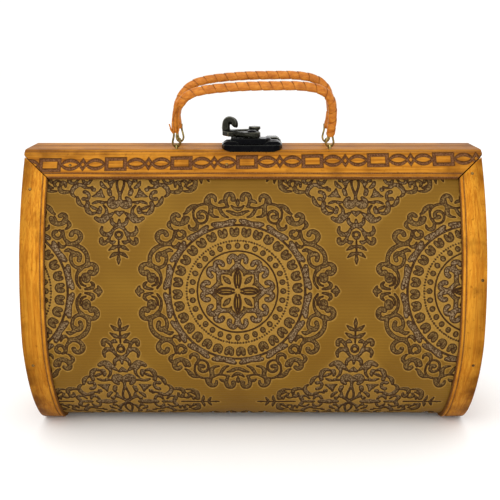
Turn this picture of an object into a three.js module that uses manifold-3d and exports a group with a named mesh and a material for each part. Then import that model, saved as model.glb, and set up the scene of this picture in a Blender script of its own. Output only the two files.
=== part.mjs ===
// Wooden box bag: two hinged half shells, each a mitred wooden frame round a curved embossed panel,
// with a cast hook clasp on the top rails and a wrapped loop handle on each half.
// Millimetres, +Z up, +X along the bag. The parting plane is y = 0 and the feet stand on z = 0.
import * as THREE from 'three';
import { mergeVertices } from 'three/addons/utils/BufferGeometryUtils.js';
import Module from 'manifold-3d';

const wasm = await Module();
wasm.setup();

// Case
const BAG_WIDTH = 320;
const BAG_HEIGHT = 206;
const BELLY_HALF_DEPTH = 63;
const BELLY_HEIGHT = 79;
const TOP_HALF_DEPTH = 22.7;
const FOOT_HALF_DEPTH = 15;
const UNDERSIDE_FULLNESS = 1.6;
const GAP = 0.3;

// Top rails and end boards
const SHOULDER_REACH = 6.7;
const SHOULDER_DROP = 4;
const RAIL_FACE = 16.4;
const RAIL_THICKNESS = 11;
const RAIL_TOP_THICKNESS = 12;
const END_BOARD_THICKNESS = 17;
const FOOT_RELIEF_DEPTH = 5;
const FOOT_RELIEF_HEIGHT = 3.4;

// Panels
const PANEL_THICKNESS = 4;
const PANEL_RECESS = 3;
const PANEL_TONGUE = 2;

// Base hinges
const HINGE_OFFSET = 80;
const HINGE_LENGTH = 30;
const LEAF_WIDTH = 14;
const LEAF_THICKNESS = 1;
const KNUCKLE_RADIUS = 1.9;
const HINGE_PIN_RADIUS = 0.8;

// Handles
const HANDLE_HALF_SPAN = 54;
const HANDLE_RISE = 48;
const HANDLE_RADIUS = 3.45;
const HANDLE_FROM_PARTING = 14.6;
const FRONT_HANDLE_DEGREES = 25;
const BACK_HANDLE_DEGREES = 0;
const WIRE_RADIUS = 0.75;
const RING_HEIGHT = 9.5;
const RING_HALF_WIDTH = 2.6;
const RING_NECK = 1.45;
const RING_TAIL = 3.6;
const STAPLE_BITE = 6;

// Clasp
const CLASP_SHIFT = -0.8;
const PLATE_LENGTH = 42.5;
const PLATE_DEPTH = 20;
const PLATE_THICKNESS = 3;
const PLATE_CORNER = 6;
const PLATE_BEND_SHARE = 0.3;
const PLATE_LIP = 2.4;
const PLATE_EDGE = 1.5;
const LUG_LENGTH = 11;
const LUG_DEPTH = 11;
const LUG_HEIGHT = 2.2;
const LUG_INSET = 1;
const PEDESTAL_LENGTH = 25;
const PEDESTAL_LEFT = 15;
const PEDESTAL_DEPTH = 12;
const PEDESTAL_HEIGHT = 3.8;
const PIVOT_FROM_PARTING = 9;
const RIVET_RADIUS = 1.8;
const RIVET_HEAD_RADIUS = 3.7;
const RIVET_CROWN_RADIUS = 2.6;
const RIVET_HEAD_HEIGHT = 1.2;
const HOOK_THICKNESS = 3.5;
const HOOK_BOSS_RADIUS = 6.2;
const HOOK_ARM_WIDTH = 4.2;
const HOOK_LENGTH = 21.5;
const HOOK_TIP_DEGREES = 77;
const HOOK_ROOT_DEGREES = 140;
const HOOK_THROAT_DEGREES = 130;
const BOSS_FROM_DEGREES = 234;
const BOSS_TO_DEGREES = 441;
const CURL_RADIUS = 5;
const CURL_THICKNESS = 4.2;
const CURL_TIP_THICKNESS = 2.9;
const CURL_NECK = 5;
const CURL_DEPTH = 6;
const CURL_INSET = 0.2;
const CURL_FROM_PARTING = 3.2;
const CURL_TURN_DEGREES = 202;
const BACK_PLATE_LENGTH = 33;
const BACK_PLATE_DEPTH = 17;
const POST_FROM_PARTING = 6.6;
const POST_SHIFT = 1.9;
const POST_RADIUS = 3.2;
const KNOB_RADIUS = 4.6;
const KNOB_NECK_RADIUS = 4.1;
const KNOB_HEIGHT = 4.6;

// Facets
const SIDE_STEPS = 12;
const UNDERSIDE_STEPS = 12;
const WIRE_SIDES = 6;
const RING_STEPS = 22;
const STAPLE_STEPS = 18;
const CROWN_STEPS = 6;
const HOOK_ROUND_STEPS = 6;
const BOSS_STEPS = 8;
const CURL_STEPS = 10;
const HANDLE_SIDES = 12;
const HANDLE_STEPS = 44;
const ROUND_SIDES = 20;

const WOOD = { color: 0xc9842f, roughness: 0.45, metalness: 0 };
const STRIP_WOOD = { color: 0xd99a48, roughness: 0.45, metalness: 0 };
const EMBOSSED = { color: 0x8b6a2b, roughness: 0.6, metalness: 0 };
const WRAPPED = { color: 0xe08a3c, roughness: 0.5, metalness: 0 };
const BRASS_WIRE = { color: 0x9a8a55, roughness: 0.35, metalness: 0.9 };
const BLACK_CAST = { color: 0x1d1c1b, roughness: 0.35, metalness: 0.8 };

// Rounding of the rail's shoulder, as shares of its reach outwards and of its drop
const SHOULDER_ROUND = [
  { reach: 0, drop: 0 },
  { reach: 0.5, drop: 0.16 },
  { reach: 0.83, drop: 0.48 },
];

// Handle centre line as shares of the half span (across) and of the rise above the ring (up)
const HANDLE_ROUTE = [
  { across: -1.0, up: 0.198 },
  { across: -0.995, up: 0.42 },
  { across: -0.945, up: 0.66 },
  { across: -0.82, up: 0.845 },
  { across: -0.6, up: 0.935 },
  { across: -0.2, up: 0.985 },
  { across: 0.2, up: 1.0 },
  { across: 0.6, up: 0.995 },
  { across: 0.85, up: 0.93 },
  { across: 0.975, up: 0.77 },
  { across: 1.01, up: 0.5 },
  { across: 1.0, up: 0.198 },
];

// Bow of a handle ring, as shares of its half width (across) and of its height (up)
const RING_BOW = [
  { across: 0, up: 0 },
  { across: 0.62, up: 0.074 },
  { across: 1, up: 0.37 },
];

// Section of a lug on the clasp plates, as shares of its half length (across) and of its height (up)
const LUG_SECTION = [
  { across: 1, up: 0.4 },
  { across: 0.62, up: 1 },
  { across: -0.62, up: 1 },
  { across: -1, up: 0.4 },
];

// Bends of the hook's near arm, as shares of its length (along) and of its inner round (across)
const HOOK_ARM_OUTER = [
  { along: 1, across: 0.45 },
  { along: 0.8, across: 0.1 },
];
const HOOK_ARM_INNER = [
  { along: 0.62, across: 0.42 },
];

const HALF_WIDTH = BAG_WIDTH / 2;
const INNER_HALF_WIDTH = HALF_WIDTH - END_BOARD_THICKNESS;
const HALF_GAP = GAP / 2;
const SHOULDER_HEIGHT = BAG_HEIGHT - SHOULDER_DROP;
const RAIL_FLAT = TOP_HALF_DEPTH - SHOULDER_REACH;

// How far joined solids reach into each other, how far a cutter passes beyond what it cuts, and how
// near two points of one mesh lie to be the same point
const OVERLAP = 1;
const CUT_PAST = 5;
const MERGE_REACH = 1e-4;

// The side is one round from the shoulder down to the belly, where it stands upright
const sideRise = SHOULDER_HEIGHT - BELLY_HEIGHT;
const sideSwell = BELLY_HALF_DEPTH - TOP_HALF_DEPTH;
const SIDE_RADIUS = (sideRise ** 2 + sideSwell ** 2) / (2 * sideSwell);

// Axes for extruding an outline along X, along Y and along Z
const ALONG_X = new THREE.Matrix4().makeBasis(vector(0, 1, 0), vector(0, 0, 1), vector(1, 0, 0));
const ALONG_Y = new THREE.Matrix4().makeBasis(vector(1, 0, 0), vector(0, 0, 1), vector(0, -1, 0));

function vector(x, y, z) {
  return new THREE.Vector3(x, y, z);
}

// A closed mesh as a solid that can be joined and cut, and back again
function toSolid(geometry) {
  const plain = geometry.clone();
  plain.deleteAttribute('normal');
  plain.deleteAttribute('uv');
  const merged = mergeVertices(plain, MERGE_REACH);
  const vertProperties = new Float32Array(merged.attributes.position.array);
  const triVerts = new Uint32Array(merged.index.array);
  return new wasm.Manifold(new wasm.Mesh({ numProp: 3, vertProperties, triVerts }));
}

function toGeometry(solid) {
  const mesh = solid.getMesh();
  const geometry = new THREE.BufferGeometry();
  geometry.setAttribute('position', new THREE.BufferAttribute(new Float32Array(mesh.vertProperties), 3));
  geometry.setIndex(new THREE.BufferAttribute(new Uint32Array(mesh.triVerts), 1));
  return geometry;
}

function join(...geometries) {
  return toGeometry(geometries.map(toSolid).reduce((whole, piece) => whole.add(piece)));
}

function cut(geometry, ...tools) {
  return toGeometry(tools.map(toSolid).reduce((whole, tool) => whole.subtract(tool), toSolid(geometry)));
}

function shapeOf(points) {
  return new THREE.Shape(points.map(([across, up]) => new THREE.Vector2(across, up)));
}

function extrude(points, length, axes) {
  const geometry = new THREE.ExtrudeGeometry(shapeOf(points), { depth: length, bevelEnabled: false });
  return axes ? geometry.applyMatrix4(axes) : geometry;
}

// A prism of a (y, z) outline between two x positions
function prismX(points, from, to) {
  return extrude(points, to - from, ALONG_X).translate(from, 0, 0);
}

// A prism of an (x, z) outline between two y positions
function prismY(points, from, to) {
  return extrude(points, to - from, ALONG_Y).translate(0, to, 0);
}

// A prism of an (x, y) outline between two heights
function prismZ(points, from, to) {
  return extrude(points, to - from).translate(0, 0, from);
}

function blockBetween(low, high) {
  const size = high.clone().sub(low);
  const centre = high.clone().add(low).multiplyScalar(0.5);
  return new THREE.BoxGeometry(size.x, size.y, size.z).translate(centre.x, centre.y, centre.z);
}

function uprightCylinder(radius, x, y, from, to, topRadius = radius) {
  const cylinder = new THREE.CylinderGeometry(topRadius, radius, to - from, ROUND_SIDES);
  return cylinder.rotateX(Math.PI / 2).translate(x, y, (from + to) / 2);
}

function tubeAlong(curve, radius, sides, steps) {
  const section = new THREE.Shape();
  for (let side = 0; side < sides; side += 1) {
    const angle = (2 * Math.PI * side) / sides;
    const across = radius * Math.cos(angle);
    const up = radius * Math.sin(angle);
    if (side === 0) section.moveTo(across, up);
    else section.lineTo(across, up);
  }
  return new THREE.ExtrudeGeometry(section, { steps, bevelEnabled: false, extrudePath: curve });
}

// Profile of a half shell as [depth from the parting plane, height] with its outward normal.
// The upper side is one round, and the underside a superellipse down to the foot.
function sideProfile(topHeight) {
  const rows = [];
  const topAngle = Math.asin((topHeight - BELLY_HEIGHT) / SIDE_RADIUS);
  for (let step = 0; step < SIDE_STEPS; step += 1) {
    const angle = topAngle * (1 - step / SIDE_STEPS);
    const depth = BELLY_HALF_DEPTH - SIDE_RADIUS * (1 - Math.cos(angle));
    const height = BELLY_HEIGHT + SIDE_RADIUS * Math.sin(angle);
    rows.push({ depth, height, out: Math.cos(angle), up: Math.sin(angle) });
  }
  const reach = BELLY_HALF_DEPTH - FOOT_HALF_DEPTH;
  for (let step = 0; step <= UNDERSIDE_STEPS; step += 1) {
    const angle = (Math.PI / 2) * (step / UNDERSIDE_STEPS);
    const across = Math.max(0, Math.cos(angle)) ** (2 / UNDERSIDE_FULLNESS);
    const down = Math.sin(angle) ** (2 / UNDERSIDE_FULLNESS);
    const normal = new THREE.Vector2(
      across ** (UNDERSIDE_FULLNESS - 1) / reach,
      -(down ** (UNDERSIDE_FULLNESS - 1)) / BELLY_HEIGHT,
    ).normalize();
    const depth = FOOT_HALF_DEPTH + reach * across;
    rows.push({ depth, height: BELLY_HEIGHT * (1 - down), out: normal.x, up: normal.y });
  }
  return rows;
}

function insetProfile(inset, topHeight) {
  const rows = sideProfile(topHeight);
  return rows.map(({ depth, height, out, up }) => [depth - inset * out, height - inset * up]);
}

// The rail's front face runs down the profile from the shoulder. Its slope is taken as one flat face.
const shoulder = sideProfile(SHOULDER_HEIGHT)[0];
const railFootAngle = Math.asin(shoulder.up) - RAIL_FACE / SIDE_RADIUS;
const railFoot = {
  depth: BELLY_HALF_DEPTH - SIDE_RADIUS * (1 - Math.cos(railFootAngle)),
  height: BELLY_HEIGHT + SIDE_RADIUS * Math.sin(railFootAngle),
};
const faceDown = new THREE.Vector2(railFoot.depth - shoulder.depth, railFoot.height - shoulder.height);
const faceLength = faceDown.length();
faceDown.normalize();

// Section of a top rail: flat top, rounded shoulder, slanted face, and a square edge that the panel meets
function railSection(clearance) {
  const inner = {
    depth: railFoot.depth + RAIL_THICKNESS * faceDown.y,
    height: railFoot.height - RAIL_THICKNESS * faceDown.x,
  };
  const topUnder = BAG_HEIGHT - RAIL_TOP_THICKNESS - clearance;
  const round = SHOULDER_ROUND.map(({ reach, drop }) => [
    RAIL_FLAT + reach * (SHOULDER_REACH + clearance),
    BAG_HEIGHT - drop * SHOULDER_DROP + clearance,
  ]);
  return [
    [HALF_GAP, BAG_HEIGHT + clearance],
    ...round,
    [shoulder.depth + clearance, SHOULDER_HEIGHT],
    [railFoot.depth + clearance * (1 + faceDown.x), railFoot.height - clearance],
    [inner.depth - clearance, inner.height - clearance],
    [inner.depth - clearance, inner.height + faceDown.x * RAIL_THICKNESS - clearance],
    [RAIL_FLAT - clearance, topUnder],
    [HALF_GAP, topUnder],
  ];
}

// Wedge beyond the mitre at one end: across the rail's face from its outer top corner to its inner lower one
function mitreWedge(side, end, clearance) {
  const slope = faceLength / END_BOARD_THICKNESS;
  const shift = clearance * Math.hypot(1, slope);
  const spare = 2 * END_BOARD_THICKNESS;
  const outline = [
    [-spare, -spare * slope + shift],
    [spare, spare * slope + shift],
    [-spare, spare * slope + shift],
  ];
  const wedge = extrude(outline, 2 * spare).translate(0, 0, -spare);
  const across = vector(end === 'left' ? 1 : -1, 0, 0);
  const down = vector(0, side * faceDown.x, faceDown.y);
  const through = vector(0, 0, 0).crossVectors(across, down);
  wedge.applyMatrix4(new THREE.Matrix4().makeBasis(across, down, through));
  const corner = end === 'left' ? -HALF_WIDTH : HALF_WIDTH;
  return wedge.translate(corner, side * shoulder.depth, SHOULDER_HEIGHT);
}

function toSide(points, side) {
  return points.map(([depth, height]) => [side * depth, height]);
}

function railBody(side, clearance) {
  const bar = prismX(toSide(railSection(clearance), side), -HALF_WIDTH, HALF_WIDTH);
  return cut(bar, mitreWedge(side, 'left', clearance), mitreWedge(side, 'right', clearance));
}

// End board: a solid plate of the side profile, cut back under the rail and mitred to it
function endBoard(side, end) {
  const outline = insetProfile(0, SHOULDER_HEIGHT);
  outline.push([FOOT_RELIEF_DEPTH, 0]);
  outline.push([HALF_GAP, FOOT_RELIEF_HEIGHT]);
  outline.push([HALF_GAP, SHOULDER_HEIGHT]);
  const inner = end === 'left' ? -INNER_HALF_WIDTH : INNER_HALF_WIDTH;
  const outer = end === 'left' ? -HALF_WIDTH : HALF_WIDTH;
  const plate = prismX(toSide(outline, side), Math.min(inner, outer), Math.max(inner, outer));
  const railTop = prismX(toSide(railSection(GAP), side), -HALF_WIDTH - CUT_PAST, HALF_WIDTH + CUT_PAST);
  const tool = cut(railTop, mitreWedge(side, 'left', GAP), mitreWedge(side, 'right', GAP));
  return cut(plate, tool);
}

// Curved panel: set back from the frame, from under the rail round the belly to the parting plane
const HINGE_AXIS_HEIGHT = PANEL_RECESS - GAP - LEAF_THICKNESS / 2;

function panel(side) {
  const tongueTop = railFoot.height + PANEL_TONGUE;
  const outer = insetProfile(PANEL_RECESS, tongueTop);
  const inner = insetProfile(PANEL_RECESS + PANEL_THICKNESS, tongueTop).reverse();
  const outline = [
    ...outer,
    [HALF_GAP, PANEL_RECESS],
    [HALF_GAP, PANEL_RECESS + PANEL_THICKNESS],
    ...inner,
  ];
  const edge = INNER_HALF_WIDTH - GAP;
  const sheet = prismX(toSide(outline, side), -edge, edge);
  const notchReach = KNUCKLE_RADIUS + GAP;
  const notches = [-HINGE_OFFSET, HINGE_OFFSET].map((x) => blockBetween(
    vector(x - HINGE_LENGTH / 2 - GAP, -notchReach, 0),
    vector(x + HINGE_LENGTH / 2 + GAP, notchReach, HINGE_AXIS_HEIGHT + notchReach),
  ));
  return cut(sheet, railBody(side, GAP), ...notches);
}

// Base hinge: knuckles round a pin on the parting plane, with a leaf under each panel
function barrel(from, to, radius) {
  const cylinder = new THREE.CylinderGeometry(radius, radius, to - from, ROUND_SIDES);
  return cylinder.rotateZ(Math.PI / 2).translate((from + to) / 2, 0, HINGE_AXIS_HEIGHT);
}

function hingeLeaf(side, x, spans) {
  const leafTop = PANEL_RECESS - GAP;
  const strip = (from, to, nearEdge) => blockBetween(
    vector(x + from, Math.min(side * nearEdge, side * LEAF_WIDTH), leafTop - LEAF_THICKNESS),
    vector(x + to, Math.max(side * nearEdge, side * LEAF_WIDTH), leafTop),
  );
  const leaf = strip(-HINGE_LENGTH / 2, HINGE_LENGTH / 2, KNUCKLE_RADIUS + GAP);
  const tabs = spans.map(([from, to]) => strip(from, to, HINGE_PIN_RADIUS + GAP + LEAF_THICKNESS / 2));
  const knuckles = spans.map(([from, to]) => barrel(x + from, x + to, KNUCKLE_RADIUS));
  const bore = barrel(x - HINGE_LENGTH, x + HINGE_LENGTH, HINGE_PIN_RADIUS + GAP);
  return cut(join(leaf, ...tabs, ...knuckles), bore);
}

// Spans of the knuckles along a hinge: the front leaf has one at each end, the back leaf one between them
const HINGE_END = HINGE_LENGTH / 2;
const MIDDLE_END = HINGE_LENGTH / 6;
const OUTER_KNUCKLES = [
  [-HINGE_END, -MIDDLE_END - HALF_GAP],
  [MIDDLE_END + HALF_GAP, HINGE_END],
];
const MIDDLE_KNUCKLE = [
  [-MIDDLE_END + HALF_GAP, MIDDLE_END - HALF_GAP],
];

const EYE_HEIGHT = BAG_HEIGHT + WIRE_RADIUS + 2 * GAP;

function handlePlace(side, lean) {
  const turn = new THREE.Matrix4().makeRotationX(-side * THREE.MathUtils.degToRad(lean));
  turn.setPosition(0, side * HANDLE_FROM_PARTING, EYE_HEIGHT);
  return turn;
}

// Wire ring: a teardrop that passes through the staple and runs up into the handle's end
function ringCurve(x) {
  const right = [
    ...RING_BOW.map(({ across, up }) => [across * RING_HALF_WIDTH, up * RING_HEIGHT]),
    [RING_NECK, RING_HEIGHT - GAP],
    [RING_NECK, RING_HEIGHT + RING_TAIL],
  ];
  const left = right.slice(1).reverse().map(([across, up]) => [-across, up]);
  return new THREE.CatmullRomCurve3([...left, ...right].map(([across, up]) => vector(x + across, 0, up)));
}

function handleRing(end) {
  const x = end * HANDLE_HALF_SPAN;
  return tubeAlong(ringCurve(x), WIRE_RADIUS, WIRE_SIDES, RING_STEPS);
}

function handleGrip() {
  const route = HANDLE_ROUTE.map(({ across, up }) => (
    vector(across * HANDLE_HALF_SPAN, 0, up * HANDLE_RISE)
  ));
  const grip = tubeAlong(new THREE.CatmullRomCurve3(route), HANDLE_RADIUS, HANDLE_SIDES, HANDLE_STEPS);
  const bores = [-HANDLE_HALF_SPAN, HANDLE_HALF_SPAN].map((x) => (
    tubeAlong(ringCurve(x), WIRE_RADIUS + GAP, WIRE_SIDES, RING_STEPS).translate(0, 0, GAP)
  ));
  return cut(grip, ...bores);
}

// Staple: a round-topped wire loop driven into the rail across the ring
function stapleCurve(x, side) {
  const radius = 2 * WIRE_RADIUS + GAP;
  const centre = vector(x, side * HANDLE_FROM_PARTING, EYE_HEIGHT);
  const foot = BAG_HEIGHT - STAPLE_BITE;
  const points = [vector(x, centre.y - radius, foot), vector(x, centre.y - radius, centre.z)];
  for (let step = 1; step < CROWN_STEPS; step += 1) {
    const angle = Math.PI * (1 - step / CROWN_STEPS);
    points.push(vector(x, centre.y + radius * Math.cos(angle), centre.z + radius * Math.sin(angle)));
  }
  points.push(vector(x, centre.y + radius, centre.z), vector(x, centre.y + radius, foot));
  return new THREE.CatmullRomCurve3(points, false, 'centripetal');
}

function staple(x, side, clearance) {
  return tubeAlong(stapleCurve(x, side), WIRE_RADIUS + clearance, WIRE_SIDES, STAPLE_STEPS);
}

function topRail(side) {
  const holes = [-1, 1].map((end) => (
    staple(end * HANDLE_HALF_SPAN, side, GAP).translate(0, 0, -GAP)
  ));
  return cut(railBody(side, 0), ...holes);
}

// Clasp. The hook turns about an upright rivet on the front plate and closes behind the back plate's post.
const SEAT = BAG_HEIGHT + GAP;
const PLATE_TOP = SEAT + PLATE_THICKNESS;
const PEDESTAL_TOP = PLATE_TOP + PEDESTAL_HEIGHT;
const HOOK_UNDER = PEDESTAL_TOP + GAP;
const HOOK_TOP = HOOK_UNDER + HOOK_THICKNESS;
const PIVOT_Y = -PIVOT_FROM_PARTING;
const POST_X = CLASP_SHIFT + POST_SHIFT;

function plateBase(outline) {
  return prismZ(outline, BAG_HEIGHT - PLATE_LIP, PLATE_TOP);
}

// A plate outline with chamfered corners along its far edge
function plateOutline(from, to, near, far, corner) {
  const inward = Math.sign(near - far);
  const bend = PLATE_BEND_SHARE * corner;
  return [
    [from, near],
    [from, far + inward * corner],
    [from + bend, far + inward * bend],
    [from + corner, far],
    [to - corner, far],
    [to - bend, far + inward * bend],
    [to, far + inward * corner],
    [to, near],
  ];
}

function lug(x, y, seat) {
  const half = LUG_LENGTH / 2;
  const outline = [
    [x - half, seat - OVERLAP],
    [x + half, seat - OVERLAP],
    ...LUG_SECTION.map(({ across, up }) => [x + across * half, seat + up * LUG_HEIGHT]),
  ];
  return prismY(outline, y - LUG_DEPTH / 2, y + LUG_DEPTH / 2);
}

function frontPlate() {
  const from = CLASP_SHIFT - PLATE_LENGTH / 2;
  const to = CLASP_SHIFT + PLATE_LENGTH / 2;
  const far = -PLATE_EDGE - PLATE_DEPTH;
  const base = plateBase(plateOutline(from, to, -PLATE_EDGE, far, PLATE_CORNER));
  const middle = -PLATE_EDGE - PLATE_DEPTH / 2;
  const lugShift = (PLATE_LENGTH - LUG_LENGTH) / 2 - LUG_INSET;
  const pedestalFrom = CLASP_SHIFT - PEDESTAL_LEFT;
  const pedestal = blockBetween(
    vector(pedestalFrom, PIVOT_Y - PEDESTAL_DEPTH / 2, PLATE_TOP - OVERLAP),
    vector(pedestalFrom + PEDESTAL_LENGTH, PIVOT_Y + PEDESTAL_DEPTH / 2, PEDESTAL_TOP),
  );
  const body = join(
    base,
    lug(CLASP_SHIFT - lugShift, middle, PLATE_TOP),
    lug(CLASP_SHIFT + lugShift, middle, PLATE_TOP),
    pedestal,
  );
  const hole = rivetHole(SEAT, PEDESTAL_TOP);
  const bed = prismX(toSide(railSection(GAP), -1), from - CUT_PAST, to + CUT_PAST);
  return cut(body, bed, hole);
}

function rivetHole(from, to) {
  return uprightCylinder(RIVET_RADIUS + GAP, CLASP_SHIFT, PIVOT_Y, from - CUT_PAST, to + CUT_PAST);
}

function rivet() {
  const headSeat = HOOK_TOP + GAP;
  const headTop = headSeat + RIVET_HEAD_HEIGHT;
  const shank = uprightCylinder(RIVET_RADIUS, CLASP_SHIFT, PIVOT_Y, SEAT, headSeat + GAP);
  const head = uprightCylinder(
    RIVET_HEAD_RADIUS, CLASP_SHIFT, PIVOT_Y, headSeat, headTop, RIVET_CROWN_RADIUS,
  );
  return join(shank, head);
}

function arcPoints(radius, fromDegrees, toDegrees, steps) {
  const points = [];
  for (let step = 0; step <= steps; step += 1) {
    const angle = THREE.MathUtils.degToRad(fromDegrees + (toDegrees - fromDegrees) * (step / steps));
    points.push([radius * Math.cos(angle), radius * Math.sin(angle)]);
  }
  return points;
}

// The hook's inner edge behind the post is a round about the rivet, so that the hook turns clear of the post
function hookPlan() {
  const post = vector(POST_SHIFT, POST_FROM_PARTING + PIVOT_FROM_PARTING, 0);
  const inner = post.length() + POST_RADIUS + GAP;
  const outer = inner + HOOK_ARM_WIDTH;
  const bend = ({ along, across }) => [-along * HOOK_LENGTH, across * inner];
  const points = [
    ...arcPoints(outer, HOOK_TIP_DEGREES, HOOK_ROOT_DEGREES, HOOK_ROUND_STEPS),
    ...HOOK_ARM_OUTER.map(bend),
    ...arcPoints(HOOK_BOSS_RADIUS, BOSS_FROM_DEGREES, BOSS_TO_DEGREES, BOSS_STEPS),
    ...HOOK_ARM_INNER.map(bend),
    ...arcPoints(inner, HOOK_THROAT_DEGREES, HOOK_TIP_DEGREES, HOOK_ROUND_STEPS),
  ];
  return points.map(([x, y]) => [x + CLASP_SHIFT, y + PIVOT_Y]);
}

// Curled finger tab at the hook's free corner, an (x, z) outline rolled over towards the bag's middle
function curl() {
  const centreX = CLASP_SHIFT - HOOK_LENGTH + CURL_RADIUS + CURL_INSET;
  const centreZ = HOOK_TOP + CURL_NECK;
  const outer = [];
  const inner = [];
  for (let step = 0; step <= CURL_STEPS; step += 1) {
    const share = step / CURL_STEPS;
    const angle = Math.PI - THREE.MathUtils.degToRad(CURL_TURN_DEGREES) * share;
    const innerRadius = CURL_RADIUS - CURL_THICKNESS + (CURL_THICKNESS - CURL_TIP_THICKNESS) * share;
    outer.push([centreX + CURL_RADIUS * Math.cos(angle), centreZ + CURL_RADIUS * Math.sin(angle)]);
    inner.push([centreX + innerRadius * Math.cos(angle), centreZ + innerRadius * Math.sin(angle)]);
  }
  const outline = [
    [centreX - CURL_RADIUS, HOOK_TOP - OVERLAP],
    ...outer,
    ...inner.reverse(),
    [centreX - CURL_RADIUS + CURL_THICKNESS, HOOK_TOP - OVERLAP],
  ];
  return prismY(outline, CURL_FROM_PARTING - CURL_DEPTH / 2, CURL_FROM_PARTING + CURL_DEPTH / 2);
}

function claspHook() {
  const arm = prismZ(hookPlan(), HOOK_UNDER, HOOK_TOP);
  return cut(join(arm, curl()), rivetHole(HOOK_UNDER, HOOK_TOP));
}

function backPlate() {
  const to = CLASP_SHIFT + PLATE_LENGTH / 2;
  const from = to - BACK_PLATE_LENGTH;
  const far = PLATE_EDGE + BACK_PLATE_DEPTH;
  const base = plateBase(plateOutline(from, to, PLATE_EDGE, far, PLATE_CORNER));
  const knobUnder = HOOK_TOP + GAP;
  const knobTop = knobUnder + KNOB_HEIGHT;
  const postFoot = PLATE_TOP - OVERLAP;
  const post = uprightCylinder(POST_RADIUS, POST_X, POST_FROM_PARTING, postFoot, knobUnder + OVERLAP);
  const knob = uprightCylinder(
    KNOB_NECK_RADIUS, POST_X, POST_FROM_PARTING, knobUnder, knobTop, KNOB_RADIUS,
  );
  const bed = prismX(toSide(railSection(GAP), 1), from - CUT_PAST, to + CUT_PAST);
  const ear = lug(to - LUG_LENGTH / 2 - LUG_INSET, far - LUG_DEPTH / 2 - PLATE_EDGE, PLATE_TOP);
  return cut(join(base, post, knob, ear), bed);
}

const bag = new THREE.Group();

function addPiece(name, geometry, look) {
  const mesh = new THREE.Mesh(geometry, new THREE.MeshStandardMaterial(look));
  mesh.name = name;
  bag.add(mesh);
  return mesh;
}

const SIDES = [
  { half: 'front', side: -1, lean: FRONT_HANDLE_DEGREES, knuckles: OUTER_KNUCKLES },
  { half: 'back', side: 1, lean: BACK_HANDLE_DEGREES, knuckles: MIDDLE_KNUCKLE },
];

const ENDS = [
  { end: 'left', sign: -1 },
  { end: 'right', sign: 1 },
];

for (const { half, side, lean, knuckles } of SIDES) {
  addPiece(`${half}_top_rail`, topRail(side), WOOD);
  addPiece(`${half}_panel`, panel(side), EMBOSSED);
  const place = handlePlace(side, lean);
  addPiece(`${half}_handle`, handleGrip().applyMatrix4(place), WRAPPED);
  for (const { end, sign } of ENDS) {
    addPiece(`${half}_end_${end}`, endBoard(side, end), STRIP_WOOD);
    addPiece(`${half}_handle_ring_${end}`, handleRing(sign).applyMatrix4(place), BRASS_WIRE);
    addPiece(`${half}_staple_${end}`, staple(sign * HANDLE_HALF_SPAN, side, 0), BRASS_WIRE);
    addPiece(`${half}_hinge_leaf_${end}`, hingeLeaf(side, sign * HINGE_OFFSET, knuckles), BRASS_WIRE);
  }
}

for (const { end, sign } of ENDS) {
  const from = sign * HINGE_OFFSET - HINGE_LENGTH / 2;
  addPiece(`hinge_pin_${end}`, barrel(from, from + HINGE_LENGTH, HINGE_PIN_RADIUS), BRASS_WIRE);
}

addPiece('clasp_front_plate', frontPlate(), BLACK_CAST);
addPiece('clasp_rivet', rivet(), BLACK_CAST);
addPiece('clasp_hook', claspHook(), BLACK_CAST);
addPiece('clasp_back_plate', backPlate(), BLACK_CAST);

export default bag;
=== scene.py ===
# %% [markdown]
# A wooden box bag
# The bag is a rigid case of two like halves that meet on the plane y = 0. Each half is a mitred wooden
# frame, a carved top rail and two end boards, round a curved sheet of embossed leather. A wrapped loop
# handle hangs in wire rings on each half, and a cast hook clasp holds them shut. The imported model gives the
# frame, and every piece here is modelled where that frame has it, in metres. Sizes are written in
# millimetres and multiplied by MM.

# %% Load the frame
import math

import bpy
import numpy as np
from mathutils import Matrix, Vector


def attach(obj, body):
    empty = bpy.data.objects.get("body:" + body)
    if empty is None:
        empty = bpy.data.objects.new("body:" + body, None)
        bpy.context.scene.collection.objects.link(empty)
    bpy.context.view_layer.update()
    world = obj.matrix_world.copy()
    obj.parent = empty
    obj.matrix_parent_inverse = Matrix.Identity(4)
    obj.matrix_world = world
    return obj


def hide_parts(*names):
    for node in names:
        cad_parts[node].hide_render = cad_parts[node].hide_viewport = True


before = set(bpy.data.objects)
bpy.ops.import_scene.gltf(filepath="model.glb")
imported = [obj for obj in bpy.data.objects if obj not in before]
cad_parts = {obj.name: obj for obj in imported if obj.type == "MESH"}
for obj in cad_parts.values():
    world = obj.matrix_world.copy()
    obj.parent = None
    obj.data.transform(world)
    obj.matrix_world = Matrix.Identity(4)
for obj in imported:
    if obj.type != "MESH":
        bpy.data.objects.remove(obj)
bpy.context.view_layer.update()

MM = 0.001

# %% Driving sizes, millimetres, the same as the frame's
BAG_HALF_WIDTH = 160
BAG_HEIGHT = 206
BELLY_HALF_DEPTH = 63
BELLY_HEIGHT = 79
TOP_HALF_DEPTH = 22.7
FOOT_HALF_DEPTH = 15
UNDERSIDE_FULLNESS = 1.6
GAP = 0.3
SHOULDER_REACH = 6.7
SHOULDER_DROP = 4
SHOULDER_HEIGHT = BAG_HEIGHT - SHOULDER_DROP
RAIL_FACE = 16.4
RAIL_THICKNESS = 11
RAIL_TOP_THICKNESS = 12
END_BOARD_THICKNESS = 17
INNER_HALF_WIDTH = BAG_HALF_WIDTH - END_BOARD_THICKNESS
HALVES = [
    {"half": "front", "side": -1},
    {"half": "back", "side": 1},
]
ENDS = [
    {"end": "left", "sign": -1},
    {"end": "right", "sign": 1},
]

# %% [markdown]
# Camera
# The photo looks slightly down on the bag from the front. Its distance and lens were worked out from the
# rows of the bag's outline, which shrink towards the foot by perspective alone.

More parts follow.
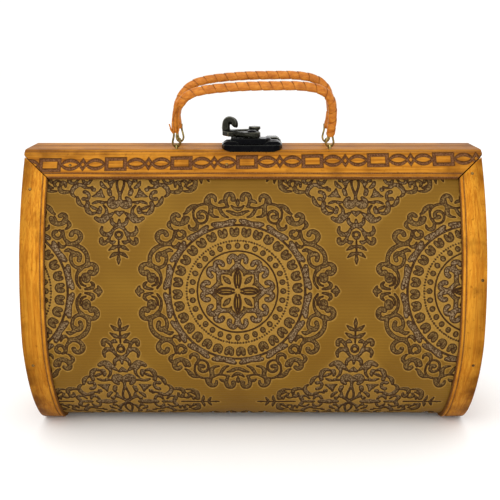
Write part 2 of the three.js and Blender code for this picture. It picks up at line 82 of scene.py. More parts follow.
# %% Camera
CAMERA_PLACE = (-2.2, -587.15, 285.2)
CAMERA_DOWN_DEGREES = 15
CAMERA_LENS = 58.4

camera_data = bpy.data.cameras.new("photo_camera")
camera_data.lens = CAMERA_LENS
camera_data.sensor_width = 36
camera_data.clip_start = 0.05
camera = bpy.data.objects.new("photo_camera", camera_data)
camera.location = Vector(CAMERA_PLACE) * MM
camera.rotation_euler = (math.radians(90 - CAMERA_DOWN_DEGREES), 0, 0)
bpy.context.scene.collection.objects.link(camera)
bpy.context.scene.camera = camera
print("camera at", tuple(round(value, 4) for value in camera.location))

# %% [markdown]
# The side's profile
# Seen from the end, a half shell is one round from the shoulder down to the belly, and a superellipse from
# there under to the foot. Everything curved on the case follows this line, so it is worked out once, as
# rows of depth, height and the direction that points outwards, measured along by its length.

# %% The profile as a line that can be measured along
PROFILE_STEPS = 900
side_rise = SHOULDER_HEIGHT - BELLY_HEIGHT
side_swell = BELLY_HALF_DEPTH - TOP_HALF_DEPTH
SIDE_RADIUS = (side_rise ** 2 + side_swell ** 2) / (2 * side_swell)


def side_profile():
    """Depth, height, outward and upward parts of the normal, from the shoulder down to the foot."""
    angle = np.arcsin(side_rise / SIDE_RADIUS) * np.linspace(1, 0, PROFILE_STEPS, endpoint=False)
    upper = np.stack([BELLY_HALF_DEPTH - SIDE_RADIUS * (1 - np.cos(angle)),
                      BELLY_HEIGHT + SIDE_RADIUS * np.sin(angle), np.cos(angle), np.sin(angle)], 1)
    turn = np.linspace(0, np.pi / 2, PROFILE_STEPS)
    reach = BELLY_HALF_DEPTH - FOOT_HALF_DEPTH
    across = np.clip(np.cos(turn), 0, 1) ** (2 / UNDERSIDE_FULLNESS)
    down = np.sin(turn) ** (2 / UNDERSIDE_FULLNESS)
    out = across ** (UNDERSIDE_FULLNESS - 1) / reach
    up = -(down ** (UNDERSIDE_FULLNESS - 1)) / BELLY_HEIGHT
    size = np.hypot(out, up)
    lower = np.stack([FOOT_HALF_DEPTH + reach * across, BELLY_HEIGHT * (1 - down), out / size, up / size], 1)
    return np.vstack([upper, lower])


class Line:
    """A line in depth and height to bend along: a place on it by its length, and off it by a height."""

    def __init__(self, rows):
        self.rows = rows
        steps = np.hypot(np.diff(rows[:, 0]), np.diff(rows[:, 1]))
        self.along = np.concatenate([[0], np.cumsum(steps)])
        self.length = self.along[-1]

    def place(self, along, height):
        columns = [np.interp(along, self.along, self.rows[:, column]) for column in range(4)]
        size = np.hypot(columns[2], columns[3])
        return columns[0] + height * columns[2] / size, columns[1] + height * columns[3] / size


def offset(rows, inset):
    """The same line set in by a distance."""
    moved = rows.copy()
    moved[:, 0] -= inset * rows[:, 2]
    moved[:, 1] -= inset * rows[:, 3]
    return moved


PROFILE = side_profile()
print("profile from shoulder to foot:", round(Line(PROFILE).length, 1), "mm")

# The rail's face is one flat from the shoulder down the round
rail_foot_angle = np.arcsin(side_rise / SIDE_RADIUS) - RAIL_FACE / SIDE_RADIUS
RAIL_FOOT = np.array([BELLY_HALF_DEPTH - SIDE_RADIUS * (1 - np.cos(rail_foot_angle)),
                      BELLY_HEIGHT + SIDE_RADIUS * np.sin(rail_foot_angle)])
SHOULDER = np.array([TOP_HALF_DEPTH, SHOULDER_HEIGHT])
FACE_LENGTH = np.linalg.norm(RAIL_FOOT - SHOULDER)
FACE_DOWN = (RAIL_FOOT - SHOULDER) / FACE_LENGTH
FACE_OUT = np.array([-FACE_DOWN[1], FACE_DOWN[0]])

# %% [markdown]
# Small helpers
# Each new piece starts as a primitive. These helpers clear the selection first, read and set a mesh's
# points as rows of numbers, and finish a piece: its faces are turned outwards, it gets its material, and it
# rides on its body.

# %% Helpers for pieces
SMOOTH_ANGLE = math.radians(40)


def pick(*pieces):
    """Selects these pieces alone, the last one active."""
    if bpy.context.object and bpy.context.object.mode != "OBJECT":
        bpy.ops.object.mode_set(mode="OBJECT")
    bpy.ops.object.select_all(action="DESELECT")
    for piece in pieces:
        piece.select_set(True)
        bpy.context.view_layer.objects.active = piece


def named(name):
    piece = bpy.context.object
    piece.name = name
    piece.data.name = name
    return piece


def points_of(piece):
    flat = np.empty(len(piece.data.vertices) * 3)
    piece.data.vertices.foreach_get("co", flat)
    return flat.reshape(-1, 3)


def set_points(piece, x, y, z):
    """Places every point of a mesh, given in millimetres."""
    piece.data.vertices.foreach_set("co", (np.stack([x, y, z], 1) * MM).ravel())
    piece.data.update()


def set_attribute(piece, name, values):
    """Stores one number a point, for the material to read."""
    attribute = piece.data.attributes.new(name, "FLOAT", "POINT")
    attribute.data.foreach_set("value", np.asarray(values, dtype=np.float32))


def unit_grid(name, columns, rows):
    """A primitive grid one metre wide, with each point's whole column and row."""
    bpy.ops.object.select_all(action="DESELECT")
    bpy.ops.mesh.primitive_grid_add(x_subdivisions=columns, y_subdivisions=rows, size=1)
    piece = named(name)
    column, row = grid_numbers(piece, columns, rows)
    return piece, column, row


def grid_numbers(piece, columns, rows):
    spots = points_of(piece)
    return np.rint((spots[:, 0] + 0.5) * columns).astype(int), np.rint((spots[:, 1] + 0.5) * rows).astype(int)


def in_edit(piece, *steps):
    """Runs edit-mode steps on one piece."""
    pick(piece)
    bpy.ops.object.mode_set(mode="EDIT")
    for step in steps:
        step()
    bpy.ops.object.mode_set(mode="OBJECT")


def all_selected():
    bpy.ops.mesh.select_all(action="SELECT")


def open_edges():
    bpy.ops.mesh.select_mode(type="EDGE")
    bpy.ops.mesh.select_all(action="DESELECT")
    bpy.ops.mesh.select_non_manifold()


def fill_all():
    bpy.ops.mesh.select_all(action="SELECT")
    bpy.ops.mesh.fill_holes(sides=0)


def merge(distance=1e-6):
    def step():
        bpy.ops.mesh.select_all(action="SELECT")
        bpy.ops.mesh.remove_doubles(threshold=distance)
    return step


def outwards():
    bpy.ops.mesh.select_all(action="SELECT")
    bpy.ops.mesh.normals_make_consistent(inside=False)


def select_chain(piece, chosen):
    """Selects the edges whose two points are both chosen."""
    pick(piece)
    mesh = piece.data
    mesh.vertices.foreach_set("select", np.zeros(len(mesh.vertices), bool))
    mesh.polygons.foreach_set("select", np.zeros(len(mesh.polygons), bool))
    pairs = np.empty(len(mesh.edges) * 2, int)
    mesh.edges.foreach_get("vertices", pairs)
    pairs = pairs.reshape(-1, 2)
    mesh.edges.foreach_set("select", chosen[pairs[:, 0]] & chosen[pairs[:, 1]])
    mesh.vertices.foreach_set("select", chosen)
    bpy.context.tool_settings.mesh_select_mode = (False, True, False)


def apply_modifier(piece, kind, **settings):
    pick(piece)
    modifier = piece.modifiers.new(kind, kind)
    for key, value in settings.items():
        setattr(modifier, key, value)
    bpy.ops.object.modifier_apply(modifier=modifier.name)


def finish(piece, body, material, nodes=(), angle=SMOOTH_ANGLE):
    """Shades a piece, puts its place into its mesh, gives it its material and body, and hides its frame
    nodes.
    """
    pick(piece)
    bpy.ops.object.transform_apply(location=True, rotation=True, scale=True)
    bpy.ops.object.shade_smooth_by_angle(angle=angle)
    piece.data.materials.clear()
    piece.data.materials.append(material)
    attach(piece, body)
    if nodes:
        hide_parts(*nodes)
    triangles = sum(len(face.vertices) - 2 for face in piece.data.polygons)
    print(piece.name, "has", triangles, "triangles")
    return piece


def smooth_step(low, high, value):
    share = np.clip((value - low) / (high - low), 0, 1)
    return share * share * (3 - 2 * share)

# %% [markdown]
# Materials
# A node tree is built by one small function that adds a node with its settings and its links. Colours are
# written as the hex values that a colour picker shows, and one function turns them to the linear values
# that shading needs.

# %% Node helper and colours
def linear(code):
    """A hex colour as a linear colour with full alpha."""
    parts = [int(code[place:place + 2], 16) / 255 for place in (1, 3, 5)]
    shades = [part / 12.92 if part <= 0.04045 else ((part + 0.055) / 1.055) ** 2.4 for part in parts]
    return (*shades, 1.0)


def add_node(tree, kind, inputs=None, **settings):
    """Adds one node. Inputs are given by name or number, as a value or as another node's output."""
    node = tree.nodes.new(kind)
    for key, value in settings.items():
        setattr(node, key, value)
    for key, value in (inputs or {}).items():
        socket = node.inputs[key]
        if isinstance(value, bpy.types.NodeSocket):
            tree.links.new(value, socket)
        else:
            socket.default_value = value
    return node


def new_material(name, **shader):
    """A material with its shader node and the tree to build on."""
    material = bpy.data.materials.new(name)
    material.use_nodes = True
    tree = material.node_tree
    tree.nodes.clear()
    surface = add_node(tree, "ShaderNodeBsdfPrincipled", shader)
    output = add_node(tree, "ShaderNodeOutputMaterial", {"Surface": surface.outputs[0]})
    output.is_active_output = True
    return material, tree, surface


def ramp(tree, value, stops):
    """A colour ramp through (place, hex) stops."""
    node = add_node(tree, "ShaderNodeValToRGB", {0: value})
    elements = node.color_ramp.elements
    while len(elements) < len(stops):
        elements.new(0.5)
    for element, (place, code) in zip(elements, stops):
        element.position = place
        element.color = linear(code)
    return node.outputs["Color"]


def spread(tree, value, low, high, to_low=0.0, to_high=1.0):
    """A value's range mapped to another, clamped at both ends."""
    node = add_node(tree, "ShaderNodeMapRange", {"Value": value, "From Min": low, "From Max": high,
                                                 "To Min": to_low, "To Max": to_high})
    return node.outputs["Result"]


def calculate(tree, operation, first, second=0.0):
    return add_node(tree, "ShaderNodeMath", {0: first, 1: second}, operation=operation).outputs[0]


def blend(tree, share, first, second, how="MIX"):
    node = add_node(tree, "ShaderNodeMix", {"Factor": share}, data_type="RGBA", blend_type=how)
    for socket, value in zip((node.inputs[6], node.inputs[7]), (first, second)):
        if isinstance(value, bpy.types.NodeSocket):
            tree.links.new(value, socket)
        else:
            socket.default_value = value
    return node.outputs[2]


def object_place(tree, stretch=(1, 1, 1)):
    """Object coordinates in millimetres, divided by the stretch of the pattern."""
    source = add_node(tree, "ShaderNodeTexCoord")
    scale = tuple(1 / (MM * part) for part in stretch)
    mapping = add_node(tree, "ShaderNodeMapping", {"Vector": source.outputs["Object"], "Scale": scale})
    return mapping.outputs["Vector"]


def noise(tree, vector, scale=1.0, detail=3.0, roughness=0.55, distortion=0.0):
    node = add_node(tree, "ShaderNodeTexNoise", {"Vector": vector, "Scale": scale, "Detail": detail,
                                                 "Roughness": roughness, "Distortion": distortion})
    return node.outputs["Fac"]


def attribute(tree, name):
    return add_node(tree, "ShaderNodeAttribute", attribute_name=name).outputs["Fac"]


def bump(tree, surface, height, millimetres, strength=1.0):
    node = add_node(tree, "ShaderNodeBump", {"Height": height, "Distance": millimetres * MM,
                                             "Strength": strength})
    tree.links.new(node.outputs["Normal"], surface.inputs["Normal"])

# %% [markdown]
# Varnished wood
# The frame is a light, even wood under an amber varnish that has browned with age. Grain is noise stretched
# along the board. Fine pores and slow stains lie over it, and the carved channels are browner, because the
# stain was not wiped out of them. The darkening of the end boards towards the foot and a dark line along the
# foot of the rail's face are painted shade. The rail and the end boards share one recipe, with the grain
# turned along each.

# %% Wood
GRAIN_WIDTH = 1.6
GRAIN_LENGTH = 60


def varnished_wood(name, stretch, tones, stain):
    """Wood with its grain along the longest stretch; an attribute named cut marks what is carved, and on the
    rail also a painted shadow line along the foot of its face.
    """
    material, tree, surface = new_material(name, **{"Roughness": 0.45, "Specular IOR Level": 0.03})
    along = object_place(tree, stretch)
    grain = noise(tree, along, 1.0, 4.0, 0.6, 0.6)
    fibres = noise(tree, object_place(tree, tuple(part * 0.22 for part in stretch)), 1.0, 2.0, 0.5)
    slow = noise(tree, object_place(tree, (26, 26, 22)), 1.0, 3.0, 0.6)
    colour = ramp(tree, grain, tones)
    fine = ramp(tree, fibres, [(0.3, "#7A4A1C"), (0.52, "#FFFFFF")])
    colour = blend(tree, 0.3, colour, fine, "MULTIPLY")
    # The attribute read here holds handling grime on the rail and on the end boards' outer sides, and painted
    # shade that darkens the end boards towards the foot.
    dirt_and_shade = calculate(tree, "MULTIPLY", attribute(tree, "dirt_and_shade"), spread(tree, slow, 0.3, 0.6, 0.45, 1.0))
    patches = calculate(tree, "MAXIMUM", calculate(tree, "MULTIPLY", spread(tree, slow, 0.5, 0.7), 0.6), dirt_and_shade)
    colour = blend(tree, patches, colour, linear(stain))
    flecks = spread(tree, noise(tree, object_place(tree, (3.4, 3.4, 3.4)), 1.0, 3.0, 0.7), 0.6, 0.72)
    colour = blend(tree, calculate(tree, "MULTIPLY", flecks, 0.5), colour, linear(stain))
    cut = attribute(tree, "cut")
    pits = noise(tree, object_place(tree, (0.9, 0.9, 0.9)), 1.0, 3.0, 0.7)
    channel = ramp(tree, pits, [(0.3, "#3A1E0E"), (0.5, "#644026"), (0.75, "#8A6442")])
    colour = blend(tree, cut, colour, channel)
    colour = blend(tree, attribute(tree, "edge"), colour, linear("#2A1507"))
    tree.links.new(colour, surface.inputs["Base Color"])
    rough = calculate(tree, "ADD", spread(tree, fibres, 0.3, 0.7, 0.34, 0.5),
                      calculate(tree, "MULTIPLY", cut, 0.25))
    tree.links.new(rough, surface.inputs["Roughness"])
    carved = calculate(tree, "MULTIPLY", cut, calculate(tree, "MULTIPLY", pits, 2.0))
    height = calculate(tree, "ADD", fibres, carved)
    bump(tree, surface, height, 0.12, 0.6)
    return material


honey_tones = [(0.2, "#74430F"), (0.42, "#9C6118"), (0.58, "#BA7C25"), (0.8, "#8E5413")]
orange_tones = [(0.2, "#8E530C"), (0.42, "#B6721C"), (0.6, "#CF8E2A"), (0.8, "#AC6A18")]
rail_wood = varnished_wood("varnished_wood_rail", (GRAIN_LENGTH, GRAIN_WIDTH, GRAIN_WIDTH),
                           honey_tones, "#5A3006")
strip_wood = varnished_wood("varnished_wood_end_board", (GRAIN_WIDTH, 6, GRAIN_LENGTH),
                            orange_tones, "#5E3405")
print("wood grain", GRAIN_WIDTH, "mm wide and", GRAIN_LENGTH, "mm long")

# %% [markdown]
# Embossed leather
# The panel is a sheet of leather or leather cloth with a printed olive-gold face, pressed between hot
# plates. Where the plate bites, each line's edges are dark brown, partly brown print and partly painted shade
# in the line's walls, and its bottom is a mottled taupe; a thin paler gold band beside each line is a painted
# highlight on the raised lip. The fine level ribs of the ground come from the cloth behind.
# Attributes on the sheet say how far each point is from the nearest pressed edge.

# %% Leather
RIB_SPACING = 1.1


def embossed_leather():
    material, tree, surface = new_material("embossed_leather",
                                           **{"Roughness": 0.55, "Specular IOR Level": 0.08})
    press = attribute(tree, "press")
    light = attribute(tree, "light")
    mottle = noise(tree, object_place(tree, (1.0, 1.0, 1.0)), 1.0, 3.0, 0.65)
    slow = noise(tree, object_place(tree, (45, 45, 45)), 1.0, 2.0, 0.5)
    rows = add_node(tree, "ShaderNodeTexWave", {"Vector": object_place(tree, (9, RIB_SPACING, RIB_SPACING)),
                                                "Scale": 0.159, "Distortion": 1.4, "Detail": 2.0,
                                                "Detail Scale": 2.0},
                    wave_type="BANDS", bands_direction="Z", wave_profile="SIN").outputs["Fac"]
    ground = ramp(tree, slow, [(0.3, "#6C4B12"), (0.7, "#7A5818")])
    ground = blend(tree, spread(tree, rows, 0.0, 1.0, 0.0, 0.22), ground, linear("#5C4210"))
    gold = ramp(tree, mottle, [(0.3, "#886529"), (0.7, "#A57F3A")])
    # Paler gold: print among the motifs, and a painted highlight on the lip beside each pressed line.
    colour = blend(tree, light, ground, gold)
    taupe = ramp(tree, mottle, [(0.4, "#33200F"), (0.5, "#5A4428"), (0.6, "#877154")])
    olive = ramp(tree, mottle, [(0.38, "#34230F"), (0.5, "#563F1E"), (0.62, "#7A6036")])
    taupe = blend(tree, attribute(tree, "mauve"), olive, taupe)
    # Each pressed line's edges are dark brown, partly brown print and partly painted shade in the line's
    # walls; deeper in, the bottom is taupe.
    depth = spread(tree, press, -0.9, -0.3, 1.0, 0.0)
    inside = blend(tree, depth, linear("#35200D"), taupe)
    pressed = spread(tree, press, -0.05, 0.3, 1.0, 0.0)
    colour = blend(tree, pressed, colour, inside)
    tree.links.new(colour, surface.inputs["Base Color"])
    rough = spread(tree, calculate(tree, "ADD", mottle, pressed), 0.3, 1.6, 0.5, 0.72)
    tree.links.new(rough, surface.inputs["Roughness"])
    relief = calculate(tree, "ADD", calculate(tree, "MULTIPLY", rows, 0.5),
                       calculate(tree, "MULTIPLY", mottle, calculate(tree, "ADD", depth, 0.25)))
    bump(tree, surface, relief, 0.16, 0.7)
    return material


leather = embossed_leather()
print("leather ribs every", RIB_SPACING, "mm, drawn twice as wide as real ones so that they show")

# %% [markdown]
# Wrapped handle, brass and black casting
# The handle is wound with a strip of orange-tan leather, smooth and slightly glossy, dark along its cut
# edge. The rings are drawn brass wire with a dull olive film. The clasp is a casting with a black finish;
# its raised edges are painted a lighter grey-green, partly rubbed wear where hands touch it and partly
# painted highlight.

# %% Handle leather
def wrap_leather():
    material, tree, surface = new_material("wrap_leather", **{"Roughness": 0.42, "Specular IOR Level": 0.2})
    seam = attribute(tree, "seam")
    streaks = noise(tree, object_place(tree, (5, 2, 2)), 1.0, 4.0, 0.6)
    blotches = noise(tree, object_place(tree, (11, 9, 11)), 1.0, 3.0, 0.6)
    colour = ramp(tree, streaks, [(0.25, "#98500F"), (0.5, "#B46A1C"), (0.75, "#C8812C")])
    colour = blend(tree, spread(tree, blotches, 0.52, 0.75, 0.0, 0.6), colour, linear("#86450C"))
    colour = blend(tree, seam, colour, linear("#4A2208"))
    tree.links.new(colour, surface.inputs["Base Color"])
    bump(tree, surface, streaks, 0.15, 0.5)
    return material


wrap = wrap_leather()


# %% Metals
def filmed_metal(name, bright, film, rough):
    material, tree, surface = new_material(name, **{"Metallic": 1.0})
    cloud = noise(tree, object_place(tree, (2.2, 2.2, 2.2)), 1.0, 3.0, 0.6)
    tree.links.new(ramp(tree, cloud, [(0.35, bright), (0.62, film)]), surface.inputs["Base Color"])
    tree.links.new(spread(tree, cloud, 0.3, 0.7, rough, rough + 0.2), surface.inputs["Roughness"])
    bump(tree, surface, cloud, 0.05, 0.4)
    return material


def casting(name, tones, rubbed_and_highlight):
    material, tree, surface = new_material(name, **{"Metallic": 0.85, "Specular IOR Level": 0.1})
    cloud = noise(tree, object_place(tree, (3, 3, 3)), 1.0, 4.0, 0.6)
    grit = noise(tree, object_place(tree, (0.5, 0.5, 0.5)), 1.0, 2.0, 0.5)
    # Pointiness paints the raised edges a lighter colour: partly rubbed wear, partly painted highlight.
    worn_and_highlit = add_node(tree, "ShaderNodeNewGeometry").outputs["Pointiness"]
    colour = ramp(tree, cloud, tones)
    colour = blend(tree, spread(tree, worn_and_highlit, 0.51, 0.57, 0.0, 0.85), colour, linear(rubbed_and_highlight))
    tree.links.new(colour, surface.inputs["Base Color"])
    tree.links.new(spread(tree, cloud, 0.3, 0.7, 0.18, 0.34), surface.inputs["Roughness"])
    bump(tree, surface, grit, 0.06, 0.5)
    return material


ring_brass = filmed_metal("drawn_brass_wire", "#B9A568", "#6E6238", 0.28)
hinge_brass = filmed_metal("rolled_brass", "#B08D4A", "#6B5630", 0.35)
nail_metal = filmed_metal("dark_nail_head", "#8A6A38", "#4A3420", 0.45)
# Both castings carry a lighter colour on raised edges, partly rubbed wear and partly painted highlight.
black_cast = casting("black_cast_metal", [(0.3, "#050507"), (0.6, "#0A0A0C"), (0.8, "#141412")], "#3A3B36")
rubbed_and_highlit_cast = casting("rubbed_and_highlit_cast_metal", [(0.3, "#171713"), (0.6, "#2B2B25"), (0.8, "#403F36")], "#9A9880")
print("materials:", [material.name for material in bpy.data.materials][-8:])

# %% [markdown]
# The embossed pattern
# The real sheet is pressed between engraved plates. Two motifs alternate on a lattice, a round medallion
# and a diamond of scrolls, and both are mirrored left to right and top to bottom. So only one quarter of
# each is drawn: every stroke is a short row of listed points in millimetres from the motif's centre,
# with the width of the stroke at its start, middle and end. The distance to the nearest stroke edge then
# says, for any point of the sheet, whether it is pressed in, and a small change of that distance gives the
# slope of the pressing.

# %% Strokes of the medallion's lace, one quarter, millimetres from its centre
MEDALLION_LACE = [
    {"name": "bud", "widths": (0.5, 2.7, 0.8), "path": [(0, 60.9), (0, 63.5), (0, 66.3)]},
    {"name": "first cane", "widths": (1.4, 3.2, 2.0),
     "path": [(6.8, 60.2), (8.0, 63.5), (8.5, 67), (7.2, 69.9), (4.8, 70.5), (3.3, 68.6), (3.3, 66)]},
    {"name": "leaf between the canes", "widths": (0.8, 2.5, 0.8),
     "path": [(8.8, 64.8), (11, 64.6), (13, 63.2)]},
    {"name": "second cane", "widths": (1.2, 3.4, 2.0),
     "path": [(15.4, 64.6), (15.6, 67.2), (17.3, 69), (19.5, 68.8), (21.2, 66.8), (21.8, 64.4)]},
    {"name": "trunk and leaf", "widths": (1.2, 3.2, 0.9),
     "path": [(19.6, 66.4), (19.2, 62), (18.5, 58.6), (18.5, 55.2), (16.5, 52.9), (13.2, 52.3)]},
    {"name": "bar", "widths": (1.4, 1.0, 1.6), "path": [(6.6, 60.6), (10, 59.6), (14, 59.4), (18.4, 61)]},
    {"name": "leaf under the bar", "widths": (1.7, 2.3, 1.0),
     "path": [(12.6, 58.9), (11.2, 56), (9.2, 53.4), (6.6, 52.2)]},
    {"name": "lower boat", "widths": (1.0, 2.6, 1.4),
     "path": [(7.6, 57), (4.8, 56.2), (2.2, 54.8), (-1, 54.2)]},
    {"name": "upper boat", "widths": (0.8, 2.4, 1.8),
     "path": [(4.3, 61.3), (2.6, 59.5), (0, 58.3), (-1, 58.3)]},
    {"name": "outer line", "widths": (1.5, 1.6, 1.1),
     "path": [(19.4, 62), (22.4, 62.4), (26, 61.8), (29.2, 59.4), (30.8, 55.8)]},
    {"name": "outer leaf", "widths": (1.6, 3.2, 0.8),
     "path": [(28.6, 61.4), (31.4, 60.8), (33.6, 58.6), (35.4, 55.8), (37.4, 54.6)]},
    {"name": "top spiral", "widths": (1.0, 1.3, 1.9),
     "path": [(30.6, 56.2), (30.2, 51.8), (28.0, 48.4), (24.6, 47.6), (21.7, 49.4), (20.8, 52.8),
              (22.2, 56),
              (25, 57), (27.2, 55), (26.6, 52.2), (24.6, 52.4)]},
    {"name": "hook", "widths": (1.1, 2.7, 1.0),
     "path": [(28.9, 50.8), (27.7, 47.5), (28.3, 44.4), (30.8, 43.1), (33, 44.2), (33.4, 46.2)]},
    {"name": "crescent", "widths": (3.0, 3.5, 1.6),
     "path": [(34.6, 51.6), (35.8, 48.8), (39.5, 47.2), (43, 48.2), (44.6, 51), (44.2, 53.6), (42.2, 54.5),
              (40.7, 53.2)]},
    {"name": "crescent tooth", "widths": (1.0, 1.8, 1.4), "path": [(36.9, 52.6), (37.6, 50.6), (38, 48.8)]},
    {"name": "lobe", "widths": (1.4, 2.7, 0.9),
     "path": [(45.6, 49.8), (47.2, 47.6), (46.9, 45.2), (44.8, 43.2)]},
    {"name": "small ring", "widths": (2.4, 1.8, 1.2),
     "path": [(38.3, 41.7), (36.7, 41), (36.5, 38.8), (38.4, 36.8), (41, 37), (42.3, 39.4), (42.1, 41.6),
              (40.6, 42.6)]},
    {"name": "stalk", "widths": (1.1, 1.6, 1.6),
     "path": [(43.2, 42.4), (43.6, 39.5), (44.3, 36.2), (46.4, 33.8)]},
    {"name": "great curl", "widths": (1.8, 3.3, 1.9),
     "path": [(46.4, 33.4), (50, 33), (53.4, 34.3), (55.2, 37.2), (54.4, 40.1), (52, 41.6), (49.6, 41),
              (48.8, 39.2)]},
    {"name": "cup", "widths": (1.0, 2.3, 0.8),
     "path": [(40.2, 33.6), (41.4, 31.3), (43.2, 30.4), (45, 31.2)]},
    {"name": "outer arc", "widths": (1.8, 2.9, 1.7),
     "path": [(46, 32.4), (50.5, 32), (55, 30.3), (58.4, 27.2), (60, 23.6), (60.1, 19.6)]},
    {"name": "side leaf", "widths": (0.9, 2.4, 1.4), "path": [(44.6, 27.5), (47, 28.3), (49.8, 27)]},
    {"name": "side spiral", "widths": (2.4, 1.7, 2.6),
     "path": [(51, 26.3), (48.9, 24), (48.9, 20.6), (50.6, 17.4), (54, 15.9), (57.6, 16.9), (60.6, 18.3)]},
    {"name": "side spiral heart", "widths": (3.2, 3.0, 1.6),
     "path": [(50, 25), (53, 25.7), (55, 23.8), (54.3, 21.2)]},
    {"name": "side curl", "widths": (1.8, 3.5, 2.4),
     "path": [(60.4, 18.2), (63.4, 18.5), (65.7, 16.8), (66, 14), (64.2, 12.1), (62, 12.7)]},
    {"name": "inner arc", "widths": (2.4, 1.4, 1.0),
     "path": [(56, 15.4), (53.6, 12.9), (52.4, 9), (52.9, 5.2), (55.2, 1.9)]},
    {"name": "eye", "widths": (1.6, 2.8, 2.2),
     "path": [(56.6, 9.4), (57.5, 11), (59.6, 11), (60.7, 8.9), (59.6, 7.1), (58.2, 7.8)]},
    {"name": "line round the eye", "widths": (0.8, 1.3, 0.8),
     "path": [(54.9, 9.4), (55, 6.7), (56.4, 4.4), (58.8, 3.6)]},
    {"name": "lowest curl", "widths": (1.2, 2.3, 0.9),
     "path": [(62.6, 5.9), (64.1, 4.6), (63.4, 2.7), (60.8, 1.7), (58.2, 1.3)]},
    {"name": "side bud", "widths": (0.8, 3.6, 1.6), "path": [(64.4, 0), (67, 0), (68.8, 0)]},
    {"name": "side bud tip", "widths": (0.8, 2.2, 2.4), "path": [(67.2, 3.4), (68, 1.6), (68, -1)]},
]

# Strokes that repeat round the medallion, drawn on one half of one repeat about an upright axis
MEDALLION_ROUNDS = [
    {"name": "long petal", "repeats": 4, "strokes": [
        {"widths": (1.3, 1.6, 1.3), "path": [(0, 14.8), (1.5, 11.8), (1.95, 8.8), (1.8, 5.4), (0.9, 2.3)]},
        {"widths": (0.4, 0.9, 0.4), "path": [(0, 12), (0, 8.4), (0, 4)]}]},
    {"name": "short petal", "repeats": 4, "turned": 45, "strokes": [
        {"widths": (1.8, 3.7, 1.7), "path": [(0, 7.6), (0, 10.4), (0, 13.4)]}]},
    {"name": "star", "repeats": 8, "strokes": [
        {"widths": (3.6, 3.2, 3.4), "path": [(-0.4, 18.6), (2.6, 15.8), (5.2, 12.9)]},
        {"widths": (3.2, 4.4, 4.2), "path": [(0, 17.6), (0, 20), (0.6, 22)]},
        {"widths": (3.2, 3.6, 3.4), "path": [(0.8, 22.2), (2.4, 24.0), (4.4, 23.6), (5.8, 21.8),
                                             (5.6, 20.0)]},
        {"widths": (2.2, 1.7, 0.9), "path": [(5.2, 13.2), (4.7, 11.8), (4.3, 10.3)]}]},
    {"name": "inner ring of beads", "repeats": 32, "strokes": [
        {"widths": (3.8, 3.8, 3.8), "path": [(0, 31.2), (0, 31.5)]}]},
    {"name": "ticks", "repeats": 112, "strokes": [
        {"widths": (0.8, 0.9, 0.8), "path": [(0, 34.5), (0, 35.4)]}]},
    {"name": "shields", "repeats": 32, "turned": -3, "strokes": [
        {"widths": (3.6, 3.4, 3.1), "path": [(0.1, 39.4), (1.5, 40.2), (1.8, 43.0)]}]},
    {"name": "ribbon", "repeats": 16, "strokes": [
        {"widths": (3.0, 4.0, 3.0), "path": [(2.2, 49.7), (4.6, 48.9), (9.6, 47.6)]},
        {"widths": (2.6, 3.0, 3.0), "path": [(3.4, 47.9), (5.4, 47.4), (9.6, 47)]}]},
]
MEDALLION_RINGS = [
    {"name": "round the star", "radius": 27.6, "width": 1.0},
    {"name": "line under the ticks", "radius": 35.0, "width": 0.25},
    {"name": "ribbon's inner edge", "radius": 46.4, "width": 1.5},
]

